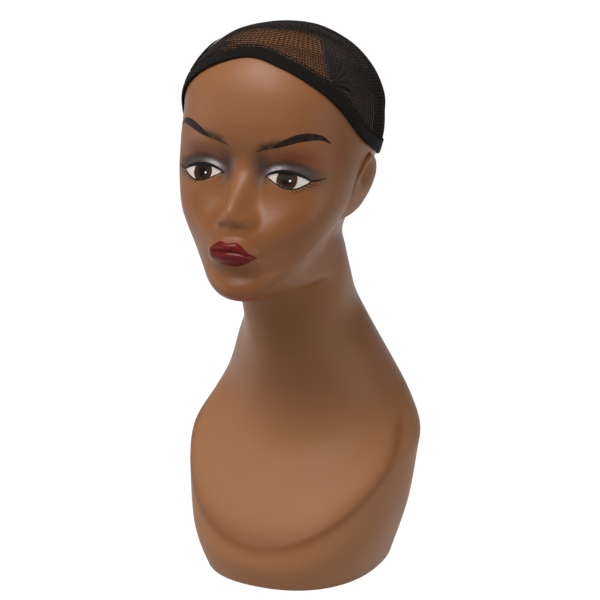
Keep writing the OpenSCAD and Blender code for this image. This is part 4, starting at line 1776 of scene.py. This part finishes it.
    def dress(self) -> None:
        """Builds the cap's pieces and gives them their textiles."""
        meshes, lining, band, stitching = self.net(), self.lining(), self.band(), self.stitching()
        gathers = join("cap_gathers_pleated", [self.gather(side) for side in Side])
        dress_piece(meshes, NET_THREAD.material(), "net", "cap", "cap_net")
        dress_piece(lining, SLACK_NET.material(), "net", "cap")
        dress_piece(band, BAND_ELASTIC.material(), "elastic", "cap", "cap_band")
        dress_piece(stitching, SEWING_THREAD.material(), "thread", "cap", "cap_stitching")
        dress_piece(gathers, GATHERED_NET.material(), "net", "cap", "cap_gathers")


@dataclass
class Base:
    """Base board with its screws, and the felt under it, which shows below the rim."""

    edge: float = 0.5
    # Share of its rectangle that the felt's oval plan fills.
    oval: float = 0.82

    def felt(self) -> bpy.types.Object:
        """Felt sheet: a copy of the plain sheet with rounded edges and a soft face.

        Returns:
            The new piece.
        """
        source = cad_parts["base_felt"]
        obj = bpy.data.objects.new("felt_sheet", source.data.copy())
        bpy.context.scene.collection.objects.link(obj)
        obj.matrix_world = Matrix.Identity(4)
        obj.data.materials.clear()
        clean(obj, 1e-5)
        with editing(obj):
            bpy.ops.mesh.dissolve_limited(angle_limit=math.radians(1.0))
        apply_modifier(obj, "BEVEL", width=self.edge * MM, segments=3, limit_method="ANGLE",
                       angle_limit=math.radians(50.0))
        only(obj)
        bpy.ops.object.shade_smooth_by_angle(angle=math.radians(40.0))
        return obj

    def dress(self) -> None:
        felt = self.felt()
        dress_piece(felt, BLACK_FELT.material(), "felt", "bust", "base_felt")
        for node, finish in (("base_board", BoardFinish()), ("board_screws", SteelFinish())):
            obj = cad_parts[node]
            obj.data.materials.clear()
            obj.data.materials.append(finish.material())
            log.info("%s: %d faces of the solids, finished", node, len(obj.data.polygons))


@dataclass(frozen=True)
class Lamp:
    """Soft square lamp, with its place, aim and width in metres and its power in watts."""

    name: str
    place: tuple[float, float, float]
    aim: tuple[float, float, float]
    power: float
    size: float

    def build(self) -> None:
        """Adds the lamp."""
        data = bpy.data.lights.new(self.name, "AREA")
        data.energy = self.power
        data.size = self.size
        lamp = bpy.data.objects.new(self.name, data)
        lamp.location = self.place
        lamp.rotation_euler = (Vector(self.aim) - Vector(self.place)).to_track_quat("-Z", "Y").to_euler()
        bpy.context.scene.collection.objects.link(lamp)


@dataclass
class Studio:
    """Pale floor, soft light and the camera at the photograph's view."""

    azimuth: float = 24.4
    elevation: float = 15.8
    roll: float = 0.3
    distance: float = 1600.0
    focal_px: float = 1995.0
    frame_px: float = 600.0
    aim: tuple[float, float, float] = (0.73, -6.67, 218.8)
    sensor: float = 36.0
    lamps: tuple[Lamp, ...] = (
        Lamp("key", (-0.25, -1.05, 1.75), (0.0, -0.03, 0.25), 35.5, 1.0),
        Lamp("fill", (-1.1, -0.5, 0.12), (0.0, 0.0, 0.2), 3.0, 0.8),
        Lamp("side", (1.2, -0.3, 0.15), (0.0, 0.0, 0.28), 4.0, 0.7))
    # Strength of the plain light ahead of the figure and low behind it.
    light_ahead: float = 0.18
    light_behind: float = 0.4
    # Two tones of the floor, and strength and share of the white that the camera sees on it.
    floor_pale: Colour = (0.55, 0.55, 0.55)
    floor_deep: Colour = (0.52, 0.52, 0.52)
    floor_glow: float = 1.12
    glow_share: float = 0.9

    def camera(self) -> None:
        """Adds the camera and makes it the scene's."""
        az, el, roll = (math.radians(v) for v in (self.azimuth, self.elevation, self.roll))
        towards = Vector((math.sin(az) * math.cos(el), -math.cos(az) * math.cos(el), math.sin(el)))
        right = Vector((math.cos(az), math.sin(az), 0.0))
        up = towards.cross(right)
        turned = Matrix((math.cos(roll) * right + math.sin(roll) * up,
                         math.cos(roll) * up - math.sin(roll) * right, towards)).transposed()
        data = bpy.data.cameras.new("camera")
        data.sensor_width = self.sensor
        data.lens = self.focal_px / self.frame_px * self.sensor
        camera = bpy.data.objects.new("camera", data)
        place = (Vector(self.aim) + towards * self.distance) * MM
        camera.matrix_world = Matrix.Translation(place) @ turned.to_4x4()
        bpy.context.scene.collection.objects.link(camera)
        bpy.context.scene.camera = camera

    def floor(self) -> None:
        """Adds the pale floor."""
        bpy.ops.object.select_all(action="DESELECT")
        bpy.ops.mesh.primitive_plane_add(size=8.0, location=(0.0, 0.0, 0.0))
        plane = bpy.context.active_object
        plane.name = plane.data.name = "floor"
        g = Graph("pale_floor")
        g.set("Base Color", g.blend(g.noise(3.0) * 0.1, self.floor_pale, self.floor_deep))
        g.set("Roughness", 0.6)
        left, forward, _ = g.place()
        around = g.math("MAXIMUM", 1.0 - g.step(0.0, 200.0, forward), g.step(250.0, 600.0, abs(left)))
        mirrored = g.out("ShaderNodeLightPath", None, None, "Is Glossy Ray") * around
        seen = g.out("ShaderNodeLightPath", None, None, "Is Camera Ray") + mirrored
        glow = g.node("ShaderNodeEmission", None, {"Color": WHITE, "Strength": self.floor_glow})
        mixed = g.node("ShaderNodeMixShader", None, {0: seen * self.glow_share})
        g.tree.links.new(g.shader.outputs[0], mixed.inputs[1])
        g.tree.links.new(glow.outputs[0], mixed.inputs[2])
        g.tree.links.new(mixed.outputs[0], g.tree.nodes["Material Output"].inputs["Surface"])
        plane.data.materials.append(g.block)

    def world(self) -> None:
        """Sets plain light all round, stronger low behind the figure, and white where the camera sees it."""
        g = Graph("studio", bpy.data.worlds, "Background")
        g.set("Color", WHITE)
        towards = g.out("ShaderNodeTexCoord", None, None, "Generated")
        axes = g.node("ShaderNodeSeparateXYZ", None, {0: towards}).outputs
        low = g.out("ShaderNodeMapRange", None, {
            "Value": Value(g, axes["Z"]), "From Min": 0.1, "From Max": 0.7,
            "To Min": self.light_behind, "To Max": self.light_ahead})
        sweep = g.out("ShaderNodeMapRange", None, {
            "Value": Value(g, axes["Y"]), "From Min": -0.4, "From Max": 0.6,
            "To Min": self.light_ahead, "To Max": low})
        seen = g.out("ShaderNodeLightPath", None, None, "Is Camera Ray")
        g.set("Strength", g.out("ShaderNodeMapRange", None, {"Value": seen, "To Min": sweep, "To Max": 1.0}))
        bpy.context.scene.world = g.block
        bpy.context.scene.view_settings.view_transform = "Standard"

    def build(self) -> None:
        """Sets up the camera, the floor and the lights."""
        self.camera()
        self.floor()
        self.world()
        for lamp in self.lamps:
            lamp.build()


def main() -> None:
    """Builds the figure, its paint, the cap and the base, and sets them in the studio."""
    logging.basicConfig(level=logging.INFO, format="%(message)s")
    shape = FigureShape()
    Studio().build()
    for assembly in (Figure(shape), FacePaint(shape), Cap(shape), Base()):
        assembly.dress()


if __name__ == "__main__":
    main()
